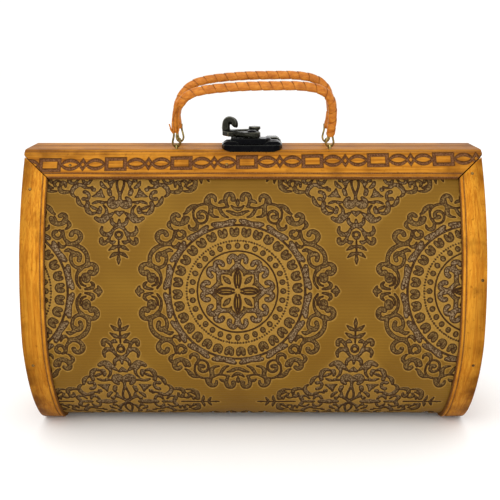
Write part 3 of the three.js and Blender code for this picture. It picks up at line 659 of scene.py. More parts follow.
# %% Strokes of the diamond, one quarter, millimetres from its centre
DIAMOND_SCROLLS = [
    {"name": "tip bud", "widths": (0.9, 2.5, 0.6), "path": [(0, 61.4), (0, 64.4), (0, 67.6)]},
    {"name": "tip leaf", "widths": (0.9, 2.6, 0.6), "path": [(0, 59.7), (3.2, 60.7), (6.1, 63)]},
    {"name": "second leaf", "widths": (0.9, 2.7, 0.5), "path": [(0.2, 54.8), (3.5, 55.9), (6.9, 57.9)]},
    {"name": "stem", "widths": (0.8, 0.9, 0.8), "path": [(0, 51.2), (0, 56), (0, 61)]},
    {"name": "third leaf", "widths": (1.0, 2.6, 1.2), "path": [(2.6, 51.6), (4.4, 52.3), (6.8, 51.2)]},
    {"name": "frame hook", "widths": (1.3, 2.6, 1.7),
     "path": [(5.6, 46), (6.6, 49.4), (8.8, 52.2), (10.9, 53.1), (12.2, 51.8), (11.9, 50.1)]},
    {"name": "ring", "widths": (1.3, 1.3, 1.5),
     "path": [(-0.5, 44.4), (1.7, 45.3), (2.2, 47.4), (0.8, 49.1), (-0.8, 49.2)]},
    {"name": "frame", "widths": (1.8, 1.9, 1.6), "path": [(1.4, 41.2), (3.8, 42.8), (5.8, 46.6)]},
    {"name": "frame scroll", "widths": (1.6, 3.2, 1.3),
     "path": [(4.8, 44.4), (7.6, 46.4), (10.2, 46.2), (12.1, 44), (11.6, 41)]},
    {"name": "crown side", "widths": (3.0, 2.7, 1.3),
     "path": [(0, 40.2), (3.4, 39.2), (5.2, 37), (4.9, 34.8)]},
    {"name": "crown middle", "widths": (2.6, 2.0, 1.2), "path": [(0, 39.5), (0, 37.5), (0, 35.6)]},
    {"name": "heart", "widths": (1.5, 2.8, 0.9), "path": [(2.8, 29.6), (1, 30.4), (0, 32.8)]},
    {"name": "cup leaf", "widths": (1.7, 5.0, 1.5),
     "path": [(4.6, 30.8), (7.4, 33.2), (10.8, 35.6), (13.6, 35.9), (16, 34.5)]},
    {"name": "cup stalk", "widths": (1.1, 1.9, 2.4),
     "path": [(11, 24.6), (9.1, 27.4), (8.9, 30.6), (10.6, 33.4)]},
    {"name": "cup seed", "widths": (1.1, 2.5, 2.1), "path": [(13.6, 25.6), (13.2, 27.6), (14, 29.6)]},
    {"name": "cup line", "widths": (1.7, 2.1, 1.0), "path": [(16, 27.3), (18, 26.4), (20, 25.1)]},
    {"name": "outer leaf", "widths": (1.5, 3.5, 1.5),
     "path": [(16.6, 30.4), (19.4, 30.9), (21.7, 28.8), (22.6, 25.6), (22, 22.6)]},
    {"name": "edge leaf", "widths": (1.7, 3.1, 1.3),
     "path": [(25.4, 25), (27.5, 23.4), (28.9, 20.4), (29.3, 18)]},
    {"name": "great leaf", "widths": (1.5, 3.4, 1.7),
     "path": [(31.4, 17.5), (33.2, 15.4), (32.8, 11.6), (30.2, 8.6), (27.4, 7.8), (24.6, 9.5)]},
    {"name": "great leaf curl", "widths": (1.2, 2.2, 1.9),
     "path": [(29.4, 3.4), (31.4, 6), (34.2, 6.4), (35.9, 4.6), (35, 2.6)]},
    {"name": "shoulder leaf", "widths": (2.0, 3.4, 1.7),
     "path": [(35.6, 13.6), (38, 14), (41.2, 13), (42, 10.4)]},
    {"name": "shoulder curl", "widths": (1.3, 2.2, 1.4),
     "path": [(38, 9.6), (38.2, 6.6), (40.4, 5.4), (41.2, 7.6)]},
    {"name": "arm leaf", "widths": (1.3, 3.3, 2.0),
     "path": [(44.4, 13.2), (48, 13.2), (51.1, 10.6), (52, 6.6), (51.6, 3.4)]},
    {"name": "arm seed", "widths": (0.9, 2.0, 1.0), "path": [(46.4, 10.5), (48.5, 9.9), (49.8, 8.2)]},
    {"name": "arm curl", "widths": (1.5, 2.3, 1.3),
     "path": [(42.6, 4.6), (44.8, 4.7), (46, 7), (44.9, 9.2)]},
    {"name": "arm drop", "widths": (1.2, 2.0, 1.2), "path": [(48.6, 2.6), (48.5, 4.6), (47.8, 6.2)]},
    {"name": "side sprig stem", "widths": (1.2, 1.0, 0.8), "path": [(40, 0), (50, 0), (63, 0)]},
    {"name": "side sprig leaf", "widths": (0.9, 2.2, 0.6), "path": [(54.6, 0.2), (55.8, 3), (56.2, 6.8)]},
    {"name": "side sprig small leaf", "widths": (0.9, 2.0, 0.6),
     "path": [(59, 0.2), (60.3, 2.4), (61.4, 5.2)]},
    {"name": "side sprig bud", "widths": (0.9, 2.2, 0.6), "path": [(62.4, 0), (64.8, 0), (67.6, 0)]},
    {"name": "vase wall", "widths": (0.9, 1.3, 1.1),
     "path": [(0, 2.4), (2.2, 4.4), (2.4, 8.4), (1.4, 12.6), (0.5, 16)]},
    {"name": "vase foot", "widths": (1.6, 1.8, 2.6), "path": [(0, 14), (0, 18), (0, 22.6)]},
    {"name": "vase scroll", "widths": (2.2, 3.8, 3.0),
     "path": [(4.6, 18.6), (6.6, 20.4), (6.8, 23.4), (4.9, 25.4), (2.6, 24.8), (1, 22.4)]},
    {"name": "vase scroll middle", "widths": (1.6, 2.4, 1.6),
     "path": [(3.6, 21.2), (4.4, 22.2), (4, 23.2)]},
    {"name": "vase leaf", "widths": (1.0, 3.1, 1.8), "path": [(7.8, 11), (7.6, 13.2), (7, 15.6)]},
    {"name": "vase stalk", "widths": (1.2, 1.9, 1.1), "path": [(5.8, 6.4), (6.4, 8), (6.6, 10.2)]},
    {"name": "slanted leaf", "widths": (2.0, 2.8, 1.3), "path": [(10.4, 10.2), (12.6, 8), (13.6, 5.2)]},
    {"name": "dot by the vase", "widths": (2.4, 2.4, 2.4), "path": [(9.5, 4.6), (9.8, 4.4)]},
    {"name": "fork left", "widths": (0.8, 2.4, 3.6), "path": [(10.6, 18), (12.4, 17), (14.2, 15.6)]},
    {"name": "fork right", "widths": (0.8, 2.4, 3.6), "path": [(18.9, 17.6), (16.6, 16.8), (14.2, 15.6)]},
    {"name": "fork top", "widths": (1.0, 2.4, 3.6), "path": [(13.4, 11.4), (13.6, 13.6), (14.2, 15.6)]},
    {"name": "fork dot", "widths": (2.3, 2.3, 2.3), "path": [(18.1, 11.5), (18.3, 11.7)]},
    {"name": "short bar", "widths": (1.4, 1.5, 1.4), "path": [(9.6, 22), (11, 22.2), (12.2, 22.2)]},
    {"name": "long bar", "widths": (1.3, 2.1, 1.2), "path": [(13.6, 21.4), (16, 21.9), (18.6, 23)]},
    {"name": "side eye", "widths": (2.9, 1.7, 1.7),
     "path": [(24.4, 13.8), (22.4, 14.7), (21.3, 17.2), (22.2, 19.6), (24.9, 19.4)]},
    {"name": "side eye brow", "widths": (1.0, 1.6, 1.1), "path": [(19.4, 9.4), (21.6, 10.6), (24, 9.9)]},
    {"name": "inner curl", "widths": (1.7, 2.7, 1.3),
     "path": [(20.4, 3.4), (22.4, 6.4), (25.2, 5.6), (26.4, 3)]},
    {"name": "middle bar", "widths": (3.4, 5.4, 3.0), "path": [(9.4, 0), (15, 0), (21, 0)]},
    {"name": "middle cross", "widths": (1.8, 1.6, 2.4), "path": [(0, 0), (3.4, 3.2), (6.8, 6.4)]},
    {"name": "middle seed", "widths": (2.4, 3.0, 2.0), "path": [(26.4, 0), (30, 0), (34, 0)]},
]

# %% The distance from a point of the sheet to the nearest stroke's edge
PATTERN_REACH = 3.0
LACE_GROWTH = 0.22
SCROLL_GROWTH = 0.2
CURVE_STEPS = 4
END_SWELL = 0.6
SWELLING_WIDTH = 1.4


def curve_through(points, steps):
    """A soft curve through points (Catmull-Rom), closely stepped."""
    spots = np.array(points, float)
    ends = np.vstack([2 * spots[0] - spots[1], spots, 2 * spots[-1] - spots[-2]])
    rows = []
    for place in range(len(spots) - 1):
        p0, p1, p2, p3 = ends[place:place + 4]
        for t in np.linspace(0, 1, steps, endpoint=False):
            rows.append(0.5 * (2 * p1 + (p2 - p0) * t + (2 * p0 - 5 * p1 + 4 * p2 - p3) * t * t
                               + (3 * p1 - p0 - 3 * p2 + p3) * t ** 3))
    rows.append(spots[-1])
    return np.array(rows)


def smooth_path(points, widths, steps):
    """The curve of a stroke, with its half width at each point."""
    rows = curve_through(points, steps)
    share = np.linspace(0, 1, len(rows))
    return rows, np.interp(share, [0, 0.5, 1], widths) / 2


def carve(field, across, up, stroke, grow=0.0):
    """Lowers the field to the signed distance to one stroke, negative inside it, wherever that is nearer."""
    rows, halves = smooth_path(stroke["path"], stroke["widths"], CURVE_STEPS)
    share = np.linspace(0, 1, len(halves))
    swell = END_SWELL if grow and stroke["widths"][2] >= SWELLING_WIDTH else 0
    halves = halves + grow + swell * share ** 5
    reach = halves.max() + PATTERN_REACH
    low, high = rows.min(0) - reach, rows.max(0) + reach
    near = np.flatnonzero((across > low[0]) & (across < high[0]) & (up > low[1]) & (up < high[1]))
    if not len(near):
        return
    x, y = across[near], up[near]
    best = field[near]
    for (ax, ay), (bx, by), wide_a, wide_b in zip(rows[:-1], rows[1:], halves[:-1], halves[1:]):
        dx, dy = bx - ax, by - ay
        t = np.clip(((x - ax) * dx + (y - ay) * dy) / max(dx * dx + dy * dy, 1e-9), 0, 1)
        distance = np.hypot(x - ax - t * dx, y - ay - t * dy) - (wide_a + t * (wide_b - wide_a))
        best = np.minimum(best, distance)
    field[near] = best


def medallion(across, up):
    """Signed distance to the medallion, for points round its centre."""
    field = np.full(across.shape, PATTERN_REACH)
    for stroke in MEDALLION_LACE:
        carve(field, np.abs(across), np.abs(up), stroke, LACE_GROWTH)
    radius = np.hypot(across, up)
    turn = np.arctan2(across, up)
    for row in MEDALLION_ROUNDS:
        wedge = 2 * np.pi / row["repeats"]
        shift = math.radians(row.get("turned", 0)) / wedge
        local = np.abs((turn / wedge - shift + 0.5) % 1.0 - 0.5) * wedge
        for stroke in row["strokes"]:
            carve(field, radius * np.sin(local), radius * np.cos(local), stroke)
    for ring in MEDALLION_RINGS:
        np.minimum(field, np.abs(radius - ring["radius"]) - ring["width"] / 2, out=field)
    return field


def diamond(across, up):
    """Signed distance to the diamond, for points in its first quarter."""
    field = np.full(across.shape, PATTERN_REACH)
    for stroke in DIAMOND_SCROLLS:
        carve(field, across, up, stroke, SCROLL_GROWTH)
    return field


# %% The whole cloth: medallions and diamonds in turn
REPEAT_ACROSS = 163.0
REPEAT_DOWN = 172.0


def wrapped(value, repeat):
    """Distance past the nearest repeat, with its sign."""
    return (value + repeat / 2) % repeat - repeat / 2


def folded(value, repeat):
    return np.abs(wrapped(value, repeat))


def pattern_distance(across, up):
    """Signed distance in millimetres to the pressed pattern, zero at its edge, from a medallion's centre."""
    x, y = wrapped(across, REPEAT_ACROSS), wrapped(up, REPEAT_DOWN)
    far_x, far_y = REPEAT_ACROSS / 2 - np.abs(x), REPEAT_DOWN / 2 - np.abs(y)
    return np.minimum(medallion(x, y), diamond(far_x, far_y))

# %% [markdown]
# The panels
# The real panel is pressed flat and then bent into the frame, and it is made the same way here. A fine flat
# grid gets a wall and an inner face by extruding its border, the pressing moves its points down, and last
# the whole slab is bent along the profile, set in from the frame. The grid's spacing is under a millimetre,
# so the relief is real.

# %% Panels
PANEL_RECESS = 3
PANEL_THICKNESS = 4
PRESS_DEPTH = 0.8
LIP_HEIGHT = 0.14
SHEET_COLUMNS = 346
SHEET_ROWS = 268
HINGE_OFFSET = 80
HINGE_LENGTH = 30
NOTCH_REACH = 2.2
PATTERN_SHIFT = -10.7
PANEL_EDGE = INNER_HALF_WIDTH - GAP

panel_rows = offset(PROFILE, PANEL_RECESS)
underside = [[FOOT_HALF_DEPTH * share, PANEL_RECESS, 0, -1] for share in (0.75, 0.5, 0.25, 0.01)]
PANEL_LINE = Line(np.vstack([panel_rows, underside]))
PANEL_TOP = RAIL_FACE * (1 - PANEL_RECESS / SIDE_RADIUS) + GAP
print("panel runs", round(PANEL_LINE.length - PANEL_TOP), "mm round the side")


# The flat pattern was pressed before the sheet was bent, so its height above the medallion's centre is
# measured along the sheet. The sheet was stretched a little more towards the top.
MEDALLION_ALONG = 94.66
PATTERN_SLOPE = 1.027
PATTERN_STRETCH = 0.00098


def pattern_height(along):
    """Height on the flat pattern, from the medallion's centre, of a place along the sheet."""
    inner = PATTERN_SLOPE ** 2 - 4 * PATTERN_STRETCH * (MEDALLION_ALONG - along)
    return (PATTERN_SLOPE - np.sqrt(inner)) / (2 * PATTERN_STRETCH)


MEDAL_RADIUS = 50
SCROLL_REACH = 40


def within_motif(across, up):
    """One inside the medallion's ring and inside the diamond, none outside them."""
    x, y = folded(across, REPEAT_ACROSS), folded(up, REPEAT_DOWN)
    medal = smooth_step(MEDAL_RADIUS + 3, MEDAL_RADIUS, np.hypot(x, y))
    far_x, far_y = REPEAT_ACROSS / 2 - x, REPEAT_DOWN / 2 - y
    scroll = smooth_step(SCROLL_REACH + 8, SCROLL_REACH, far_x + 0.75 * far_y)
    return np.maximum(medal, 0.6 * scroll)


def mauve_share(across, up):
    """Where the pressed lines are filled with grey-brown: star, ribbon and diamond, not the beads."""
    radius = np.hypot(folded(across, REPEAT_ACROSS), folded(up, REPEAT_DOWN))
    beads = smooth_step(28, 29, radius) * smooth_step(46, 45.4, radius)
    petals = smooth_step(15.6, 14.8, radius)
    return within_motif(across, up) * (1 - beads) * (1 - petals)


def pale_gold_and_lip_highlight(across, up, distance):
    """How much of the paler gold shows: all of it at and just beside the pressed lines, a painted highlight
    on the raised lip; 0.62 of it as paler print among the motifs; none in the open ground.
    """
    return np.maximum(smooth_step(0.9, 0.25, distance), 0.62 * within_motif(across, up))


def make_panel(half, side):
    piece, _, _ = unit_grid(f"{half}_panel_sheet", SHEET_COLUMNS, SHEET_ROWS)
    in_edit(piece, open_edges, lambda: bpy.ops.mesh.extrude_edges_move(
        TRANSFORM_OT_translate={"value": (0, 0, -1)}))
    column, row = grid_numbers(piece, SHEET_COLUMNS, SHEET_ROWS)
    inner = points_of(piece)[:, 2] < -0.5
    between = (row > 0) & (row < SHEET_ROWS)
    select_chain(piece, inner & between & ((column == 0) | (column == SHEET_COLUMNS)))
    in_edit(piece, lambda: bpy.ops.mesh.bridge_edge_loops(), fill_all)
    x = PANEL_EDGE * (2 * column / SHEET_COLUMNS - 1)
    notch = np.abs(np.abs(x) - HINGE_OFFSET) < HINGE_LENGTH / 2 + GAP
    end = PANEL_LINE.length - np.where(notch, NOTCH_REACH, 0)
    along = PANEL_TOP + (end - PANEL_TOP) * row / SHEET_ROWS
    across, up = x + side * PATTERN_SHIFT, pattern_height(along)
    distance = pattern_distance(across, up)
    lip = np.exp(-((distance - 0.7) / 0.45) ** 2)
    relief = LIP_HEIGHT * lip - PRESS_DEPTH * smooth_step(0.2, -0.55, distance)
    depth, height = PANEL_LINE.place(along, np.where(inner, -PANEL_THICKNESS, relief))
    set_points(piece, x, side * depth, height)
    set_attribute(piece, "press", np.where(inner, PATTERN_REACH, distance))
    # Paler gold: print among the motifs, and a painted highlight on the lip beside each pressed line.
    set_attribute(piece, "light", np.where(inner, 0, pale_gold_and_lip_highlight(across, up, distance)))
    set_attribute(piece, "mauve", mauve_share(across, up))
    in_edit(piece, outwards)
    return finish(piece, f"{half}_half", leather, [f"{half}_panel"])


for row_of_half in HALVES:
    make_panel(**row_of_half)

# %% [markdown]
# The top rails
# Each rail is a moulded bar with a frieze cut into its slanted face: rectangles, lenses and diamonds in a
# chain, each a channel round a raised island. A grid is wrapped round the bar's section, close together on
# the carved face, so the mouldings are rows pushed in or out and the frieze is pressed in like the leather.
# The ends are then cut at the mitre.

# %% Section of a rail
FACE_STEPS = 52
RAIL_COLUMNS = 760
SHOULDER_ROUND = [(0.0, 0.0), (0.3, 0.05), (0.55, 0.2), (0.8, 0.45), (0.94, 0.74)]
OFF_FACE = -99
RAIL_FLAT = TOP_HALF_DEPTH - SHOULDER_REACH
HALF_GAP = 0.05

# Lines cut into the shoulder and the face, each at its distance down the face, with its width, depth and how
# dark it is painted. The last, at the foot of the face over the panel, is barely cut: its dark is a painted
# shadow.
FACE_LINES = [
    {"place": -3.4, "width": 0.9, "depth": 0.2, "dark": 0.65},
    {"place": -0.9, "width": 0.6, "depth": 0.1, "dark": 0.3},
    {"place": 13.2, "width": 1.2, "depth": 0.65, "dark": 1.0},
    {"place": 16.4, "width": 1.5, "depth": 0.1, "dark": 1.0},
]
BEAD = {"place": 14.9, "width": 1.9, "height": 0.3}
PARTING_GRIME = 2.6
TOP_STEPS = 12


def rail_section(face_steps, top_steps, clearance=0.0):
    """The section as rows of depth, height, and distance down the face, below zero on the shoulder."""
    parting = HALF_GAP - 2 * clearance
    rows = [[parting + (RAIL_FLAT - parting) * step / top_steps, BAG_HEIGHT + clearance, OFF_FACE]
            for step in range(top_steps)]
    bends = curve_through([*SHOULDER_ROUND, (1, 1)], 5)[:-1] * (SHOULDER_REACH, SHOULDER_DROP)
    left_over = np.hypot(*(np.array([SHOULDER_REACH, SHOULDER_DROP]) - bends).T)
    for (reach, drop), left in zip(bends, left_over):
        depth = RAIL_FLAT + reach + clearance * reach / SHOULDER_REACH
        rows.append([depth, BAG_HEIGHT - drop + clearance, -left])
    start, end = SHOULDER + clearance * FACE_OUT, RAIL_FOOT + clearance * (FACE_OUT + FACE_DOWN)
    for step in range(face_steps + 1):
        share = step / face_steps
        depth, height = start + (end - start) * share
        rows.append([depth, height, share * FACE_LENGTH])
    inner = RAIL_FOOT - RAIL_THICKNESS * FACE_OUT
    rows.append([inner[0] - clearance, inner[1] - clearance, OFF_FACE])
    rows.append([inner[0] - clearance, inner[1] + FACE_DOWN[0] * RAIL_THICKNESS - clearance, OFF_FACE])
    rows.append([RAIL_FLAT - clearance, BAG_HEIGHT - RAIL_TOP_THICKNESS - clearance, OFF_FACE])
    rows.append([parting, BAG_HEIGHT - RAIL_TOP_THICKNESS - clearance, OFF_FACE])
    return np.array(rows)


# %% The chain frieze
FRIEZE_REPEAT = 45.7
FRIEZE_SHIFT = -4.3
FRIEZE_MIDDLE = 4.6
FRIEZE_TILT = -0.0165
CHANNEL_DEPTH = 0.75
RECTANGLE = {"half_width": 7.65, "half_height": 5.2, "island_width": 5.1, "island_height": 2.6}
LENS = {"centre": 14.1, "half_width": 7.0, "half_height": 4.6, "island_width": 5.2, "island_height": 1.9}
DIAMOND = {"half_width": 3.3, "half_height": 5.2, "island_width": 1.4, "island_height": 1.8}


def box_distance(x, y, half_width, half_height):
    past_x, past_y = np.abs(x) - half_width, np.abs(y) - half_height
    return np.hypot(np.maximum(past_x, 0), np.maximum(past_y, 0)) + np.minimum(np.maximum(past_x, past_y), 0)


def lens_distance(x, y, half_width, half_height):
    radius = (half_width ** 2 + half_height ** 2) / (2 * half_height)
    return np.hypot(x, np.abs(y) + radius - half_height) - radius


def rhombus_distance(x, y, half_width, half_height):
    size = math.hypot(half_width, half_height)
    return (np.abs(x) * half_height + np.abs(y) * half_width - half_width * half_height) / size


def ring_between(distance, x, y, sizes):
    """A channel from an outer outline in to its island."""
    outer = distance(x, y, sizes["half_width"], sizes["half_height"])
    island = distance(x, y, sizes["island_width"], sizes["island_height"])
    return np.maximum(outer, -island)


def frieze_distance(x, down):
    """Signed distance to the frieze's channels, negative inside them."""
    local = folded(x - FRIEZE_SHIFT, FRIEZE_REPEAT)
    y = down - FRIEZE_MIDDLE - FRIEZE_TILT * x
    rectangle = ring_between(box_distance, local, y, RECTANGLE)
    lens = ring_between(lens_distance, local - LENS["centre"], y, LENS)
    rhombus = ring_between(rhombus_distance, local - FRIEZE_REPEAT / 2, y, DIAMOND)
    return np.minimum(rectangle, np.minimum(lens, rhombus))


# %% Rails
MITRE_SLOPE = END_BOARD_THICKNESS / FACE_LENGTH
CHANNEL_EDGE = 0.35
MITRE_GAPS = {-1: 0.6, 1: 1.0}


def cut_mitre(piece, side, sign, shift=0.0):
    """Cuts a rail across its face, from the outer top corner to the inner lower one."""
    corner = Vector((sign * (BAG_HALF_WIDTH - shift), side * SHOULDER[0], SHOULDER[1])) * MM
    down = Vector((0, side * FACE_DOWN[0], FACE_DOWN[1]))
    normal = Vector((sign, 0, 0)) + down * MITRE_SLOPE
    in_edit(piece, all_selected, lambda: bpy.ops.mesh.bisect(
        plane_co=corner, plane_no=normal.normalized(), use_fill=True, clear_outer=True))


def line_share(place, line, key="place"):
    """How far a place lies inside a cut line, from none to one at its middle."""
    return np.exp(-((place - line[key]) / (line["width"] / 2)) ** 2)


def moulding(down):
    """Height off the face of its lines and its bead."""
    height = BEAD["height"] * np.exp(-((down - BEAD["place"]) / (BEAD["width"] / 2)) ** 4)
    for line in FACE_LINES:
        height -= line["depth"] * line_share(down, line)
    return height


def rail_bar(name, side, columns, section):
    """A grid wrapped round the section and closed at both ends. Gives the piece, x and the section row."""
    piece, column, row = unit_grid(name, columns, len(section))
    around = row % len(section)
    x = BAG_HALF_WIDTH * (2 * column / columns - 1)
    set_points(piece, x, side * section[around, 0], section[around, 1])
    in_edit(piece, merge(), fill_all)
    spots = points_of(piece) / MM
    distances = (np.abs(spots[:, 1:2] * side - section[None, :, 0])
                 + np.abs(spots[:, 2:3] - section[None, :, 1]))
    return piece, spots, distances.argmin(1)


STAIN = {"x": 144, "depth": 14, "length": 9, "width": 6}


def rail_dirt(spots):
    """Handling marks: along the ends, round the clasp, and one dark stain at the back right corner."""
    ends = smooth_step(145, 160, np.abs(spots[:, 0]))
    clasp = 0.5 * smooth_step(34, 20, np.abs(spots[:, 0])) * (spots[:, 2] > SHOULDER_HEIGHT)
    stain = np.hypot((spots[:, 0] - STAIN["x"]) / STAIN["length"],
                     (spots[:, 1] - STAIN["depth"]) / STAIN["width"])
    right = 0.4 * smooth_step(40, 140, spots[:, 0]) * (spots[:, 2] > SHOULDER_HEIGHT)
    return np.clip(0.5 * ends + clasp + right + 1.2 * smooth_step(1.2, 0.6, stain), 0, 1)


def make_rail(half, side):
    section = rail_section(FACE_STEPS, TOP_STEPS)
    piece, spots, around = rail_bar(f"{half}_carved_rail", side, RAIL_COLUMNS, section)
    down = section[around, 2]
    on_face = down > OFF_FACE
    distance = frieze_distance(spots[:, 0], down)
    carved = np.where(on_face, smooth_step(0.0, -CHANNEL_EDGE, distance), 0)
    out = np.where(on_face & (down < FACE_LENGTH - 0.01), moulding(down) - CHANNEL_DEPTH * carved, 0)
    on_top = section[around, 1] > BAG_HEIGHT - 0.01
    grime = smooth_step(PARTING_GRIME, 0.8, section[around, 0])
    set_points(piece, spots[:, 0], spots[:, 1] + side * FACE_OUT[0] * out, spots[:, 2] + FACE_OUT[1] * out)
    # The lines' darkness is painted into cut; the last line's darkness is a painted shadow where the rail
    # meets the panel.
    grooves = sum(line["dark"] * line_share(down, line) for line in FACE_LINES)
    channels = smooth_step(0.1, -0.15, distance)
    set_attribute(piece, "cut", np.where(on_face, np.maximum(channels, grooves), on_top * 0.75 * grime))
    rims = 0.6 * smooth_step(0.45, 0.1, np.abs(distance + 0.1))
    set_attribute(piece, "edge", np.where(on_face, rims, 0))
    set_attribute(piece, "dirt_and_shade", rail_dirt(spots))
    for end in ENDS:
        cut_mitre(piece, side, end["sign"], MITRE_GAPS[end["sign"]])
    in_edit(piece, outwards)
    return finish(piece, f"{half}_half", rail_wood, [f"{half}_top_rail"])


for row_of_half in HALVES:
    make_rail(**row_of_half)

# %% [markdown]
# The end boards
# An end board is sawn to the profile and moulded along its inner edge with a groove and a small bead that
# run on into the rail's. Its edge face is a grid bent along the profile, its two sides are filled flat, and
# the rail with its clearance is cut out of it, so the two meet at a thin dark mitre.

# %% End boards
EDGE_ROUND = 1.2
BOARD_BEAD = {"from_inside": 1.15, "width": 1.9, "height": 0.25}
BOARD_LINES = [
    {"from_inside": 0.1, "width": 0.6, "depth": 0.5, "dark": 0.9},
    {"from_inside": 2.6, "width": 0.9, "depth": 0.7, "dark": 0.9},
]
BOARD_COLUMNS = 44
BOARD_ROWS = 190
FOOT_RELIEF_DEPTH = 5
FOOT_RELIEF_HEIGHT = 3.4
BOARD_COLUMN_BUNCH = 1.6

board_start = [[HALF_GAP, SHOULDER_HEIGHT, 0, 1], [TOP_HALF_DEPTH - 0.5, SHOULDER_HEIGHT, 0, 1]]
board_end = [[FOOT_RELIEF_DEPTH, 0, 0, -1], [HALF_GAP, FOOT_RELIEF_HEIGHT, -0.5, -0.87]]
BOARD_LINE = Line(np.vstack([board_start, PROFILE, board_end]))


def board_height(inside, on_round):
    """Height of the board's edge face, by distance from its inner side."""
    share = (inside - BOARD_BEAD["from_inside"]) / (BOARD_BEAD["width"] / 2)
    height = BOARD_BEAD["height"] * np.exp(-share ** 4)
    for line in BOARD_LINES:
        height -= line["depth"] * line_share(inside, line, "from_inside")
    outer = np.clip((inside - (END_BOARD_THICKNESS - EDGE_ROUND)) / EDGE_ROUND, 0, 1)
    return height * on_round - EDGE_ROUND * (1 - np.sqrt(1 - outer ** 2)) * 0.9 - 0.25


def make_end_board(half, side, end, sign):
    piece, column, row = unit_grid(f"{half}_end_board_{end}", BOARD_COLUMNS, BOARD_ROWS)
    inside = END_BOARD_THICKNESS * (column / BOARD_COLUMNS) ** BOARD_COLUMN_BUNCH
    along = BOARD_LINE.length * row / BOARD_ROWS
    start, stop = BOARD_LINE.along[2], BOARD_LINE.along[-3]
    on_round = smooth_step(start, start + 3, along) * smooth_step(stop, stop - 3, along)
    depth, height = BOARD_LINE.place(along, np.where((row > 0) & (row < BOARD_ROWS),
                                                     board_height(inside, on_round), 0))
    depth = np.maximum(depth, HALF_GAP)
    set_points(piece, sign * (INNER_HALF_WIDTH + inside), side * depth, height)
    grooves = sum(line["dark"] * line_share(inside, line, "from_inside") for line in BOARD_LINES)
    set_attribute(piece, "cut", grooves * on_round)
    outer = smooth_step(5, END_BOARD_THICKNESS, inside)
    # Darker towards the outer side and the top outer corner as handling grime; darker towards the foot as
    # painted shade.
    top, foot = smooth_step(165, 200, height), smooth_step(150, 20, height)
    set_attribute(piece, "dirt_and_shade", np.clip(0.5 * outer + 0.55 * top * outer + 0.6 * foot, 0, 1))
    for wall in (0, BOARD_COLUMNS):
        chain = np.zeros(len(piece.data.vertices), bool)
        chain[:len(column)] = column == wall
        select_chain(piece, chain)
        in_edit(piece, bpy.ops.mesh.edge_face_add)
    in_edit(piece, fill_all, outwards)
    cutter, _, _ = rail_bar("rail_clearance", side, 4, rail_section(4, 2, GAP))
    cut_mitre(cutter, side, sign, -GAP)
    in_edit(cutter, outwards)
    apply_modifier(piece, "BOOLEAN", object=cutter, operation="DIFFERENCE", solver="EXACT")
    bpy.data.objects.remove(cutter)
    return finish(piece, f"{half}_half", strip_wood,
                  [f"{half}_end_{end}"], math.radians(30))


for row_of_half in HALVES:
    for row_of_end in ENDS:
        make_end_board(**row_of_half, **row_of_end)

# %% [markdown]
# Handles, rings and staples
# A handle is a stiff core wound with one strip, each turn lapping over the last. A tube whose columns slant
# along the winding has its seams exactly on the lap, so the step can be sharp with few faces. Rings and
# staples are plain tubes along their wire's centre line.

# %% A tube along a route
def carried_frames(route):
    """For a route of points, its length, directions, and two cross directions that don't twist."""
    lengths = np.concatenate([[0], np.cumsum(np.linalg.norm(np.diff(route, axis=0), axis=1))])
    ahead = np.gradient(route, lengths, axis=0)
    ahead /= np.linalg.norm(ahead, axis=1)[:, None]
    first = np.cross(ahead[0], [0.0, 1.0, 0.0])
    if np.linalg.norm(first) < 0.3:
        first = np.cross(ahead[0], [1.0, 0.0, 0.0])
    across = [first / np.linalg.norm(first)]
    for direction in ahead[1:]:
        turned = across[-1] - direction * np.dot(across[-1], direction)
        across.append(turned / np.linalg.norm(turned))
    across = np.array(across)
    return lengths, ahead, across, np.cross(ahead, across)


def place_on_tube(route, along, turn, radius):
    """Points at distances along a route, turned round it by an angle, at a radius."""
    lengths, _, across, beside = carried_frames(route)

    def at(values):
        return np.stack([np.interp(along, lengths, values[:, part]) for part in range(3)], 1)

    outward = at(across) * np.cos(turn)[:, None] + at(beside) * np.sin(turn)[:, None]
    return at(route) + outward * radius[:, None]


def tube(name, route, radius, sides, steps):
    """A plain round tube with closed ends. The radius may be a number or one for each share of the length."""
    piece, column, row = unit_grid(name, steps, sides)
    share = column / steps
    total = carried_frames(route)[0][-1]
    size = radius(share) if callable(radius) else np.full(share.shape, float(radius))
    spots = place_on_tube(route, share * total, 2 * np.pi * row / sides, size)
    set_points(piece, *spots.T)
    in_edit(piece, merge(1e-7), fill_all, outwards)
    return piece


# %% Handle sizes
HANDLE_HALF_SPAN = 54
HANDLE_RISE = 48
HANDLE_RADIUS = 3.15
FRAYED = {"start": 3.0, "end": 25.0, "strips": 6}
BACK_BOW = 2.4
LEG_FOOT = 0.198
HANDLE_FROM_PARTING = 14.6
WIRE_RADIUS = 0.75
EYE_HEIGHT = BAG_HEIGHT + WIRE_RADIUS + 2 * GAP
STRIP_PITCH = 7.5
HANDLE_SIDES = 28
HANDLE_LEANS = {"front": 25, "back": 0}

# The handle's centre line, as shares of the half span and of the rise above the ring's eye
HANDLE_ROUTE = [
    {"across": -1.0, "up": 0.198}, {"across": -0.995, "up": 0.42}, {"across": -0.945, "up": 0.66},
    {"across": -0.82, "up": 0.845}, {"across": -0.6, "up": 0.935}, {"across": -0.2, "up": 0.985},
    {"across": 0.2, "up": 1.0}, {"across": 0.6, "up": 0.995}, {"across": 0.85, "up": 0.93},
    {"across": 0.975, "up": 0.77}, {"across": 1.01, "up": 0.5}, {"across": 1.0, "up": 0.198},
]

